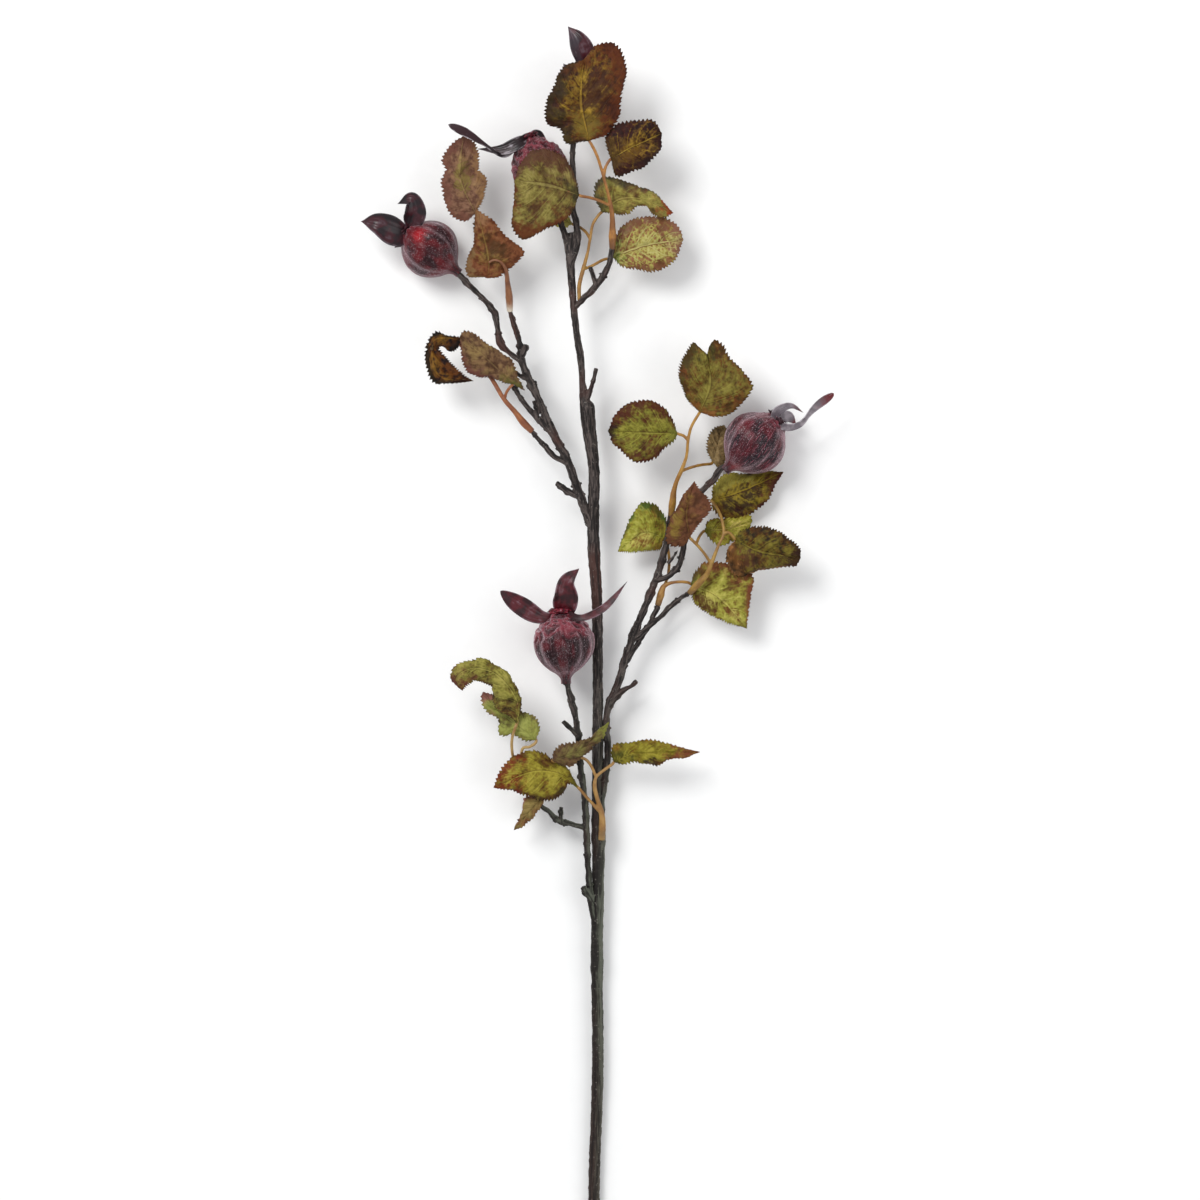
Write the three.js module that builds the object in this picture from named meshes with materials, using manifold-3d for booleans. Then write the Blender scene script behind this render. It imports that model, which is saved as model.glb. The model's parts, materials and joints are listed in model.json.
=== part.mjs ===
// A cut rose hip sprig that lies on a table: a taped wire stem with four side twigs, five hips with
// their dried sepals, orange leaf stalks pushed onto the twigs, and serrated fabric leaves.
// Units are millimetres. +Y runs up the stem, +Z away from the table, and z = 0 is the table.
import * as THREE from "three";
import { mergeVertices } from "three/addons/utils/BufferGeometryUtils.js";
import Module from "manifold-3d";

const wasm = await Module();
wasm.setup();

// ---- driving dimensions -------------------------------------------------------------------
const STEM_RADIUS = 3.7; // taped stem just above the cut end
const GAP = 0.3; // clearance left between pieces that touch
const LEAF_THICKNESS = 0.8; // starched fabric leaf
const SEPAL_THICKNESS = 1.3; // moulded sepal
const STALK_RADIUS = 1.15; // thin part of an orange leaf stalk
const SOCKET_RADIUS = 2.3; // swollen end of a stalk, pushed over a twig
const TEETH = 10; // teeth along each margin of a leaf
const TOOTH_DEPTH = 1.4;
const MARGIN_WAVE = 0.8; // how far a leaf's margin ripples up and down
const INNER_LINE = 0.55; // share of a blade's half width where its surface gets a second line
const SEPAL_ROOT = 3; // half width of a sepal where it leaves the crown
const SEPAL_WIDEST = 0.45; // share of a sepal's length where it is widest
const SEPAL_FULLNESS = 0.8; // below 1 a sepal swells fast from its base
const SEPAL_POINT = 1.2; // above 1 a sepal runs out to a point, below 1 its tip is blunt
const SEPAL_CURL = 20; // degrees that a sepal's halves bend towards the viewer
const HIP_RIDGES = 11; // shallow lengthwise ridges round a dried hip
const RIDGE_HEIGHT = 0.022; // ridge, dent and crumple heights are shares of the hip's radius
const DENT_DEPTH = 0.02;
const CRUMPLE_DEPTH = 0.05;
const CRUMPLED = [0.7, 0.99]; // the part of a hip's length, next to the crown, that is crumpled
const COLLAR = { radius: 0.36, height: 3.6, lip: 1.4, ruffle: 0.12, ruffles: 5, sides: 10 };
const TABLE = 0;

// ---- colours and finishes -----------------------------------------------------------------
const FINISH = {
  bark: { color: 0x423630, roughness: 0.75 },
  hip: { color: 0x6a1a20, roughness: 0.45 },
  sepal: { color: 0x33161b, roughness: 0.4 },
  stalk: { color: 0xb8743a, roughness: 0.55 },
  leaf: { color: 0x6a6426, roughness: 0.7 },
};

// ---- helpers ------------------------------------------------------------------------------
const toVector = (point) => new THREE.Vector3(...point);
const smoothCurve = (route) => new THREE.CatmullRomCurve3(route.map(toVector), false, "centripetal");
const degrees = THREE.MathUtils.degToRad;

function lerpList(values, place) {
  const whole = Math.min(Math.floor(place), values.length - 2);
  return THREE.MathUtils.lerp(values[whole], values[whole + 1], place - whole);
}

function toSolid(geometry) {
  const bare = geometry.clone();
  bare.deleteAttribute("normal");
  bare.deleteAttribute("uv");
  const merged = mergeVertices(bare, 1e-4);
  return new wasm.Manifold(
    new wasm.Mesh({
      numProp: 3,
      vertProperties: Float32Array.from(merged.attributes.position.array),
      triVerts: Uint32Array.from(merged.index.array),
    }),
  );
}

function toGeometry(body) {
  const mesh = body.getMesh();
  const geometry = new THREE.BufferGeometry();
  geometry.setAttribute("position", new THREE.BufferAttribute(mesh.vertProperties, 3));
  geometry.setIndex(new THREE.BufferAttribute(mesh.triVerts, 1));
  geometry.computeVertexNormals();
  return geometry;
}

const join = (bodies) => bodies.reduce((whole, next) => whole.add(next));

function cutAtTable(body) {
  const slab = new THREE.BoxGeometry(1000, 2000, 100);
  slab.translate(0, 0, TABLE - 50);
  return body.subtract(toSolid(slab));
}

// A solid rod along a smooth route. The radii belong to the route's points.
function rod(route, radii, { sides = 8, step = 6, grow = 0 } = {}) {
  const curve = smoothCurve(route);
  const steps = Math.max(route.length - 1, Math.round(curve.getLength() / step));
  const frames = curve.computeFrenetFrames(steps, false);
  const positions = [];
  const faces = [];
  for (let ring = 0; ring <= steps; ring++) {
    const along = ring / steps;
    const centre = curve.getPointAt(along);
    const radius = lerpList(radii, curve.getUtoTmapping(along) * (route.length - 1)) + grow;
    for (let side = 0; side < sides; side++) {
      const angle = (2 * Math.PI * side) / sides;
      const spot = centre
        .clone()
        .addScaledVector(frames.normals[ring], radius * Math.cos(angle))
        .addScaledVector(frames.binormals[ring], radius * Math.sin(angle));
      positions.push(...spot.toArray());
      if (ring === steps) continue;
      const here = ring * sides + side;
      const beside = ring * sides + ((side + 1) % sides);
      faces.push(here, beside, here + sides, beside, beside + sides, here + sides);
    }
  }
  const last = steps * sides;
  for (let side = 1; side < sides - 1; side++) {
    faces.push(0, side + 1, side, last, last + side, last + side + 1);
  }
  const geometry = new THREE.BufferGeometry();
  geometry.setAttribute("position", new THREE.Float32BufferAttribute(positions, 3));
  geometry.setIndex(faces);
  return toSolid(geometry);
}

// ---- blades: leaves and sepals ------------------------------------------------------------
// A blade's surface takes t, the share of the way from base to tip, and u, from -1 on the left
// margin through 0 on the rib to 1 on the right margin.
function leafSurface({ rib, left, right, puff = 0 }) {
  const middle = smoothCurve(rib);
  const [base, tip] = [rib[0], rib[rib.length - 1]];
  const margins = [smoothCurve([base, ...left, tip]), smoothCurve([base, ...right, tip])];
  return (t, u) => {
    const out = Math.abs(u);
    const spine = middle.getPointAt(t);
    const across = margins[u < 0 ? 0 : 1].getPointAt(t).sub(spine);
    const facing = across.clone().cross(middle.getTangentAt(t)).multiplyScalar(Math.sign(u)).normalize();
    const arch = puff * Math.sin(Math.PI * t) * Math.sin(Math.PI * out);
    const ripple = MARGIN_WAVE * Math.sin(Math.PI * t) * out ** 2 * Math.sin(4 * Math.PI * t + base[0] + u);
    return spine.addScaledVector(across, out).addScaledVector(facing, arch + ripple);
  };
}

// A sepal's halves each have a width, the share of its length where they are widest, and a curl,
// the degrees that they bend towards the viewer by the margin.
function sepalSurface({ rib, left, right, roll = 0, twist = 0, point = SEPAL_POINT }) {
  const middle = smoothCurve(rib);
  return (t, u) => {
    const half = u < 0 ? left : right;
    const widest = half.at ?? SEPAL_WIDEST;
    const skew = Math.log(0.5) / Math.log(widest);
    const share = Math.sin(Math.PI * Math.min(t, 1) ** skew) ** (t < widest ? SEPAL_FULLNESS : point);
    const width = Math.max(half.width * share, SEPAL_ROOT * (1 - t));
    const forward = middle.getTangentAt(t);
    const across = forward.clone().cross(new THREE.Vector3(0, 0, 1)).normalize();
    across.applyAxisAngle(forward, degrees(roll + twist * (t - 0.5)));
    const facing = across.clone().cross(forward);
    const bend = degrees(half.curl ?? SEPAL_CURL);
    const reach = (width / bend) * Math.sin(bend * Math.abs(u));
    const rise = (width / bend) * (1 - Math.cos(bend * u));
    return middle
      .getPointAt(t)
      .addScaledVector(across, Math.sign(u) * reach)
      .addScaledVector(facing, rise);
  };
}

function bladeNormal(surface, t, u) {
  const small = 0.004;
  const before = Math.max(t - small, 0);
  const after = Math.min(t + small, 1);
  const side = u >= 0 ? -small : small;
  const inner = surface(t, u + side);
  const along = surface(after, u).sub(surface(before, u));
  const across = surface(t, u).sub(inner).multiplyScalar(-Math.sign(side));
  return across.cross(along).normalize();
}

// The blade's cells: a rib line, an inner line on each half, and a margin with or without teeth.
function bladeBody(surface, { thickness, teeth, depth, rows }) {
  const upper = [];
  const lower = [];
  const vertex = (t, u) => {
    const middle = surface(t, u);
    const inside = Math.min(Math.max(t, 0.03), 0.97);
    const normal = bladeNormal(surface, inside, Math.abs(u) < 0.02 ? 0.02 : u);
    upper.push(middle.clone().addScaledVector(normal, thickness / 2));
    lower.push(middle.clone().addScaledVector(normal, -thickness / 2));
    return upper.length - 1;
  };
  const tip = vertex(1, 0);
  const line = (count, place) => {
    const marks = [];
    for (let mark = 0; mark < count; mark++) {
      const t = mark / count;
      marks.push({ t, id: vertex(...place(t, mark)) });
    }
    marks.push({ t: 1, id: tip });
    return marks;
  };
  const ribLine = line(rows, (t) => [t, 0]);
  const cells = [];
  const stitch = (inner, outer, flip) => {
    let near = 0;
    let far = 0;
    while (near < inner.length - 1 || far < outer.length - 1) {
      const nearNext = inner[near + 1]?.t ?? Infinity;
      const farNext = outer[far + 1]?.t ?? Infinity;
      const stepNear = nearNext <= farNext;
      const previous = stepNear ? inner[near].id : outer[far].id;
      const across = stepNear ? outer[far].id : inner[near].id;
      const next = stepNear ? inner[++near].id : outer[++far].id;
      if (next === across || previous === across) continue;
      const cell = stepNear ? [previous, across, next] : [previous, next, across];
      cells.push(flip ? cell.reverse() : cell);
    }
  };
  const margins = [-1, 1].map((side) => {
    const inner = line(rows, (t) => [t, INNER_LINE * side]);
    const points = 2 * teeth;
    const outer = line(points, (t, mark) => {
      const isTooth = mark % 2 === 1;
      const width = surface(t, side).distanceTo(surface(t, 0));
      const notch = isTooth || mark === 0 ? 1 : 1 - depth / Math.max(width, 4 * depth);
      return [isTooth ? t + 0.25 / points : t, side * notch];
    });
    stitch(ribLine, inner, side < 0);
    stitch(inner, outer, side < 0);
    return { inner, outer };
  });
  const [leftHalf, rightHalf] = margins;
  const rim = [
    ribLine[0].id,
    rightHalf.inner[0].id,
    ...rightHalf.outer.map((mark) => mark.id),
    ...leftHalf.outer.slice(0, -1).map((mark) => mark.id).reverse(),
    leftHalf.inner[0].id,
  ];
  const count = upper.length;
  const below = (id) => id + count;
  const faces = cells.flatMap(([a, b, c]) => [a, b, c, below(a), below(c), below(b)]);
  rim.forEach((id, place) => {
    const next = rim[(place + 1) % rim.length];
    faces.push(id, below(id), next, next, below(id), below(next));
  });
  const geometry = new THREE.BufferGeometry();
  const spots = [...upper, ...lower].flatMap((spot) => spot.toArray());
  geometry.setAttribute("position", new THREE.Float32BufferAttribute(spots, 3));
  geometry.setIndex(faces);
  return toSolid(geometry);
}

const LEAF_MESH = { thickness: LEAF_THICKNESS, teeth: TEETH, depth: TOOTH_DEPTH, rows: 6 };
const SEPAL_MESH = { thickness: SEPAL_THICKNESS, teeth: 4, depth: 0, rows: 5 };
const leafBody = (leaf) => bladeBody(leafSurface(leaf), LEAF_MESH);
const sepalBody = (sepal) => bladeBody(sepalSurface(sepal), SEPAL_MESH);

// ---- the taped stem and its twigs ---------------------------------------------------------
// Routes run from the root end. Each twig starts inside the stem and is cut back to it.
const STEM = {
  route: [
    [-0.5, -406.5, 3.5], [-2, -356, 4.5], [0.5, -271.5, 6.5], [0, -210.5, 8], [0, -204, 8.5],
    [0, -187, 9], [0.5, -161, 10], [1, -128.5, 11], [1, -123, 11], [0.5, -63.5, 14], [0.5, -18, 16],
    [0, 34, 19], [-2, 64, 20], [-2.5, 89.5, 21], [-2, 118.5, 22], [-5.5, 148, 23], [-6.5, 159, 23.5],
    [-8.5, 165, 24], [-9.5, 177, 24], [-10.5, 191, 24.5], [-13.5, 209.5, 25], [-16, 235.5, 26],
    [-17.5, 257.5, 27],
  ],
  radii: [
    STEM_RADIUS, 3.8, 3.9, 3.8, 4.5, 4, 4.1, 4.3, 5, 3.7, 3.4, 3.6, 4.2, 4, 3.7, 4.8, 5.1, 3, 2.2, 2.6,
    2.3, 2.5, 3,
  ],
};
const STEM_SIDES = [
  { route: [
    [-17.5, 254, 27], [-20, 268, 27], [-23, 278, 26.5], [-26.5, 290, 24.5],
  ], radii: [2.6, 2.1, 2.1, 2] },
  { route: [[-17, 254, 27], [-17, 265, 28], [-17, 272.5, 29]], radii: [2.2, 1.6, 1.5] },
  {
    route: [
      [-17, 252.5, 27], [-12.5, 266, 28], [-13.5, 278.5, 28.5], [-16, 289.5, 28], [-15.5, 307, 27],
      [-16, 321.5, 26], [-15, 334.5, 24], [-13.5, 345.5, 22],
    ],
    radii: [2.6, 2.3, 2.3, 2, 2.2, 1.9, 2, 1.9],
  },
  { route: [[-7, 163, 24], [-3, 174, 26], [-0.5, 184.5, 27]], radii: [2, 1.5, 1.5] },
];
const TWIGS = {
  twig_top: [
    {
      route: [
        [-16, 222.5, 25.5], [-8.5, 230, 26.5], [0.5, 239, 28], [8, 252.5, 28.5], [9.5, 260.5, 29],
      ],
      radii: [2.2, 2.1, 2.4, 2, 1.7],
    },
    { route: [[0, 237.5, 28], [-2.5, 244, 29], [-4.5, 250, 30]], radii: [1.8, 1.5, 1.6] },
  ],
  twig_left: [
    {
      route: [
        [-3, 81, 21], [-8.5, 95, 22], [-13, 107, 23], [-20, 126.5, 23], [-27.5, 140.5, 23],
        [-39, 166.5, 23], [-49, 190, 22], [-50, 200, 22], [-54, 213, 22.5], [-56, 219.5, 23],
      ],
      radii: [3.2, 3.2, 2.9, 2.8, 2.9, 2.4, 2.6, 1.9, 1.9, 1.6],
    },
    {
      route: [
        [-50, 189.5, 22], [-58, 195.5, 22], [-62.5, 200.5, 21.5], [-64.5, 211, 21],
        [-66.5, 220.5, 20.5], [-74, 230, 20], [-82.5, 238, 19.5], [-88.5, 244.5, 19],
      ],
      radii: [1.8, 1.8, 2.8, 1.8, 2.3, 1.7, 1.7, 2],
    },
    { route: [[-49, 192.5, 22], [-47, 196.5, 24], [-46, 200, 25]], radii: [2.2, 1.9, 1.7] },
    { route: [[-45, 178, 22.5], [-49.5, 179.5, 22], [-54, 182.5, 21]], radii: [2, 1.5, 1.3] },
    {
      route: [[-28, 140.5, 23], [-38.5, 152, 23], [-48, 163, 22], [-54, 172.5, 21]],
      radii: [2, 2, 1.8, 1.5],
    },
    { route: [[-38.5, 151, 23], [-39.5, 158.5, 25], [-41, 163.5, 26]], radii: [1.6, 1.4, 1.3] },
    {
      route: [[-19, 123, 23], [-27.5, 127, 23], [-34, 134, 23.5], [-41, 142, 24]],
      radii: [1.8, 1.9, 2, 1.5],
    },
    { route: [[-12.5, 101.5, 23], [-20, 105, 24], [-26.5, 110, 25]], radii: [2.1, 1.9, 1.8] },
  ],
  twig_right: [
    {
      route: [
        [1.5, -105.5, 13], [5, -84, 15], [7, -63.5, 16], [6.5, -38.5, 17.5], [14.5, -18, 18.5],
        [20, 1.5, 19.5], [33, 34, 20.5], [39.5, 51, 21], [45, 70, 21.5], [47.5, 87.5, 22.5],
      ],
      radii: [2.4, 2.4, 2.3, 2.4, 2.6, 2.5, 2.4, 2.5, 2.2, 1.7],
    },
    {
      route: [
        [37.5, 46.5, 21], [45.5, 49, 21.5], [52.5, 55.5, 22], [56, 66.5, 22], [58, 85, 22],
        [62, 97, 21.5], [70, 107, 20.5], [75.5, 112, 20], [80.5, 119.5, 19.5],
      ],
      radii: [2, 1.9, 2, 2, 1.8, 1.8, 1.9, 2.4, 2.1],
    },
    { route: [
      [8, -35, 17.5], [16, -25.5, 20], [22, -22, 21], [26, -18.5, 22],
    ], radii: [2, 1.9, 1.5, 1.8] },
    {
      route: [
        [23, 8, 19.5], [32, 15.5, 20], [41.5, 23.5, 21], [46, 28.5, 21.5], [54, 35, 22.5],
        [59, 38, 23.5],
      ],
      radii: [2.1, 1.9, 1.7, 2.1, 1.6, 1.5],
    },
    {
      route: [[19, -6, 18.5], [26, 5, 17], [33, 16, 17], [37.5, 25.5, 17.5], [39.5, 29.5, 18]],
      radii: [2, 1.6, 1.7, 1.8, 1.6],
    },
    { route: [[46, 57.5, 22], [50, 62.5, 23], [52.5, 66.5, 24]], radii: [1.2, 0.9, 0.8] },
  ],
  twig_lower: [
    {
      route: [
        [0, -180.5, 10], [-4, -162, 12], [-6, -135, 13.5], [-7, -114, 15], [-8, -96, 17],
        [-10.5, -75, 19.5], [-12.5, -51.5, 22.5], [-15.5, -35, 25.5], [-17.5, -27.5, 27],
        [-19, -21.5, 28.5],
      ],
      radii: [2.2, 2.3, 2.1, 2.4, 2.1, 2.1, 2.3, 2, 2, 2.1],
    },
    { route: [[-13, -53.5, 22.5], [-18, -48.5, 24], [-22, -44.5, 25]], radii: [1.8, 1.4, 1.6] },
    { route: [[-3, -163, 12.5], [-6.5, -157, 15], [-9, -152.5, 17]], radii: [1.9, 1.7, 2] },
    {
      route: [
        [-8, -114, 15], [-17.5, -111.5, 16], [-25.5, -109.5, 17], [-31, -103.5, 18], [-36, -100, 19.5],
      ],
      radii: [2, 1.7, 2.2, 1.7, 1.6],
    },
    { route: [[-23.5, -110, 17], [-23.5, -105.5, 19], [-23, -100.5, 21]], radii: [1.5, 1.3, 1.6] },
  ],
};

const rods = (parts, options) => join(parts.map(({ route, radii }) => rod(route, radii, options)));
const ROUND_STEM = { sides: 9, step: 18 };
const ROUND_TWIG = { sides: 7, step: 11 };
const ROUND_STALK = { sides: 6, step: 8 };

function stemBody() {
  const stem = rod(STEM.route, STEM.radii, ROUND_STEM);
  return cutAtTable(stem.add(rods(STEM_SIDES, ROUND_TWIG)));
}

// What every other piece keeps clear of: the stem with the gap added all round.
const stemWithGap = rod(STEM.route, STEM.radii, { ...ROUND_STEM, grow: GAP });

function largestOf(body) {
  return body.decompose().reduce((best, next) => (next.volume() > best.volume() ? next : best));
}

// ---- hips ---------------------------------------------------------------------------------
// A hip runs from its neck to its crown: [share of the length, share of the radius].
const HIP_PROFILE = [
  [0, 0.17], [0.07, 0.18], [0.13, 0.28], [0.2, 0.52], [0.3, 0.76], [0.42, 0.93], [0.56, 1],
  [0.7, 0.96], [0.83, 0.79], [0.92, 0.58], [1, 0.38],
];
const HIPS = {
  1: { neck: [-13, 347.5, 22], crown: [-10.5, 377.5, 22], radius: 15 },
  2: { neck: [-28, 292, 24], crown: [-45, 333, 24], radius: 17.5 },
  3: { neck: [-89.5, 246.5, 18], crown: [-123.5, 274, 17.5], radius: 18.5 },
  4: { neck: [-20, -20, 29], crown: [-23, 25.5, 32], radius: 19.5 },
  5: { neck: [83, 118, 19.5], crown: [117, 150, 20], radius: 20.3 },
};

function placeOnAxis(geometry, from, to) {
  const axis = toVector(to).sub(toVector(from)).normalize();
  geometry.applyQuaternion(new THREE.Quaternion().setFromUnitVectors(new THREE.Vector3(0, 1, 0), axis));
  geometry.translate(...from);
  return geometry;
}

// Turns a profile of [radius, height] pairs about +Y, then swells each point by swellAt.
function turned(profile, sides, swellAt) {
  const outline = profile.map(([radius, height]) => new THREE.Vector2(radius, height));
  const geometry = new THREE.LatheGeometry(outline, sides);
  const spots = geometry.attributes.position;
  for (let index = 0; index < spots.count; index++) {
    const [x, y, z] = [spots.getX(index), spots.getY(index), spots.getZ(index)];
    const swell = swellAt(Math.atan2(x, z), y);
    spots.setXYZ(index, x * swell, y, z * swell);
  }
  return geometry;
}

function hipBody({ neck, crown, radius }, number, grow = 0) {
  const length = toVector(crown).distanceTo(toVector(neck)) + grow;
  const side = HIP_PROFILE.map(([along, share]) => [share * radius + grow, along * length]);
  const geometry = turned([[0, 0], ...side, [0, length]], 2 * HIP_RIDGES, (round, height) => {
    const share = height / length;
    const belly = Math.sin(Math.PI * share);
    const ridge = RIDGE_HEIGHT * Math.cos(HIP_RIDGES * round + 2 * share) * belly;
    const dent = DENT_DEPTH * Math.sin(3 * round + number) * belly;
    const isCrumpled = share > CRUMPLED[0] && share < CRUMPLED[1];
    const crumple = isCrumpled ? CRUMPLE_DEPTH * Math.sin(7 * round + 40 * share + number) : 0;
    return 1 + ridge + dent + crumple;
  });
  return toSolid(placeOnAxis(geometry, neck, crown));
}

// ---- calyces: a rough collar on the crown with the dried sepals that grow from it ----------
const SEPALS = {
  1: [
    {
      rib: [[-10.5, 378, 22], [-9, 387.5, 27], [-12.5, 398, 29], [-19, 406.5, 26]],
      left: { width: 7.5, at: 0.5, curl: 35 },
      right: { width: 8, at: 0.42, curl: 40 },
    },
    { rib: [
      [-12.5, 377.5, 21], [-18, 378, 20], [-22, 383, 19],
    ], left: { width: 3 }, right: { width: 3 } },
    { rib: [[-8, 377.5, 21], [0, 381, 20], [6.5, 376, 22]], left: { width: 4 }, right: { width: 4 } },
  ],
  2: [
    {
      rib: [[-45.5, 334, 28], [-50.5, 330.5, 35], [-60.5, 326, 34], [-78, 326.5, 30]],
      left: { width: 4.5, at: 0.35, curl: 30 },
      right: { width: 4, at: 0.35, curl: 30 },
    },
    {
      rib: [
        [-45.5, 332.5, 22], [-53.5, 326, 26], [-61, 321.5, 34], [-73, 328.5, 42.5], [-84.5, 335.5, 45],
        [-96, 341, 45],
      ],
      left: { width: 3.1, at: 0.84, curl: 30 },
      right: { width: 3.1, at: 0.84, curl: 30 },
      roll: 35,
      twist: -50,
      point: 0.6,
    },
    { rib: [
      [-44, 334, 21], [-39.5, 337, 14], [-32, 332.5, 7],
    ], left: { width: 3.5 }, right: { width: 3.5 } },
  ],
  3: [
    {
      rib: [[-122, 272.5, 20], [-132, 274, 27], [-142.5, 278, 30], [-153.5, 280, 23]],
      left: { width: 10.8, at: 0.34, curl: 40 },
      right: { width: 9, at: 0.45, curl: 35 },
    },
    {
      rib: [[-121.5, 275.5, 22], [-117.5, 285.5, 29], [-120, 294, 32], [-129.5, 291, 28]],
      left: { width: 8.2, at: 0.38, curl: 50 },
      right: { width: 7, at: 0.38, curl: 30 },
    },
    { rib: [
      [-123, 273.5, 16], [-128, 267.5, 13], [-132, 263.5, 11],
    ], left: { width: 4 }, right: { width: 4 } },
  ],
  4: [
    {
      rib: [[-24, 23.5, 33], [-37, 23, 37], [-50, 31, 41], [-62.5, 40, 41]],
      left: { width: 6.5, at: 0.6, curl: 30 },
      right: { width: 6.5, at: 0.55, curl: 30 },
      point: 0.7,
    },
    {
      rib: [[-23, 24.5, 33], [-20, 35.5, 39], [-19, 46, 42], [-11.5, 54.5, 40]],
      left: { width: 8.8, at: 0.36, curl: 45 },
      right: { width: 8.8, at: 0.3, curl: 45 },
      point: 1,
    },
    {
      rib: [[-21, 25.5, 36], [-11, 22.5, 43.5], [4, 28.5, 44], [19.5, 46, 43]],
      left: { width: 2.6, at: 0.5, curl: 40 },
      right: { width: 3, at: 0.45, curl: 40 },
      roll: -20,
    },
    { rib: [[-23, 25, 30], [-20, 34, 24], [-16, 42, 22]], left: { width: 5 }, right: { width: 5 } },
  ],
  5: [
    {
      rib: [[116.5, 149, 23], [124, 146, 30], [131.5, 148, 33], [140, 157.5, 34], [153.5, 168, 32]],
      left: { width: 2.9, at: 0.8, curl: 40 },
      right: { width: 2.9, at: 0.8, curl: 40 },
      point: 0.5,
    },
    {
      rib: [[114.5, 150.5, 24], [117.5, 157, 30], [125.5, 160, 32], [134, 155.5, 29]],
      left: { width: 3, at: 0.3, curl: 30 },
      right: { width: 3.4, at: 0.3, curl: 30 },
    },
    { rib: [
      [116.5, 150, 17], [124, 153.5, 13], [130, 148.5, 11],
    ], left: { width: 4 }, right: { width: 4 } },
  ],
};

function calyxBody(number) {
  const { neck, crown, radius } = HIPS[number];
  const { height, lip, ruffle, ruffles, sides } = COLLAR;
  const wide = COLLAR.radius * radius;
  const profile = [[0, GAP], [wide, GAP], [1.15 * wide, lip], [0.9 * wide, height], [0, height - 1]];
  const ruffleAt = (round, y) => 1 + ruffle * Math.sin(ruffles * round + 3 * y + number);
  const beyond = toVector(crown).multiplyScalar(2).sub(toVector(neck)).toArray();
  const collar = toSolid(placeOnAxis(turned(profile, sides, ruffleAt), crown, beyond));
  const calyx = join([collar, ...SEPALS[number].map(sepalBody)]);
  return largestOf(calyx.subtract(hipBody(HIPS[number], number, GAP)));
}

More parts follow.
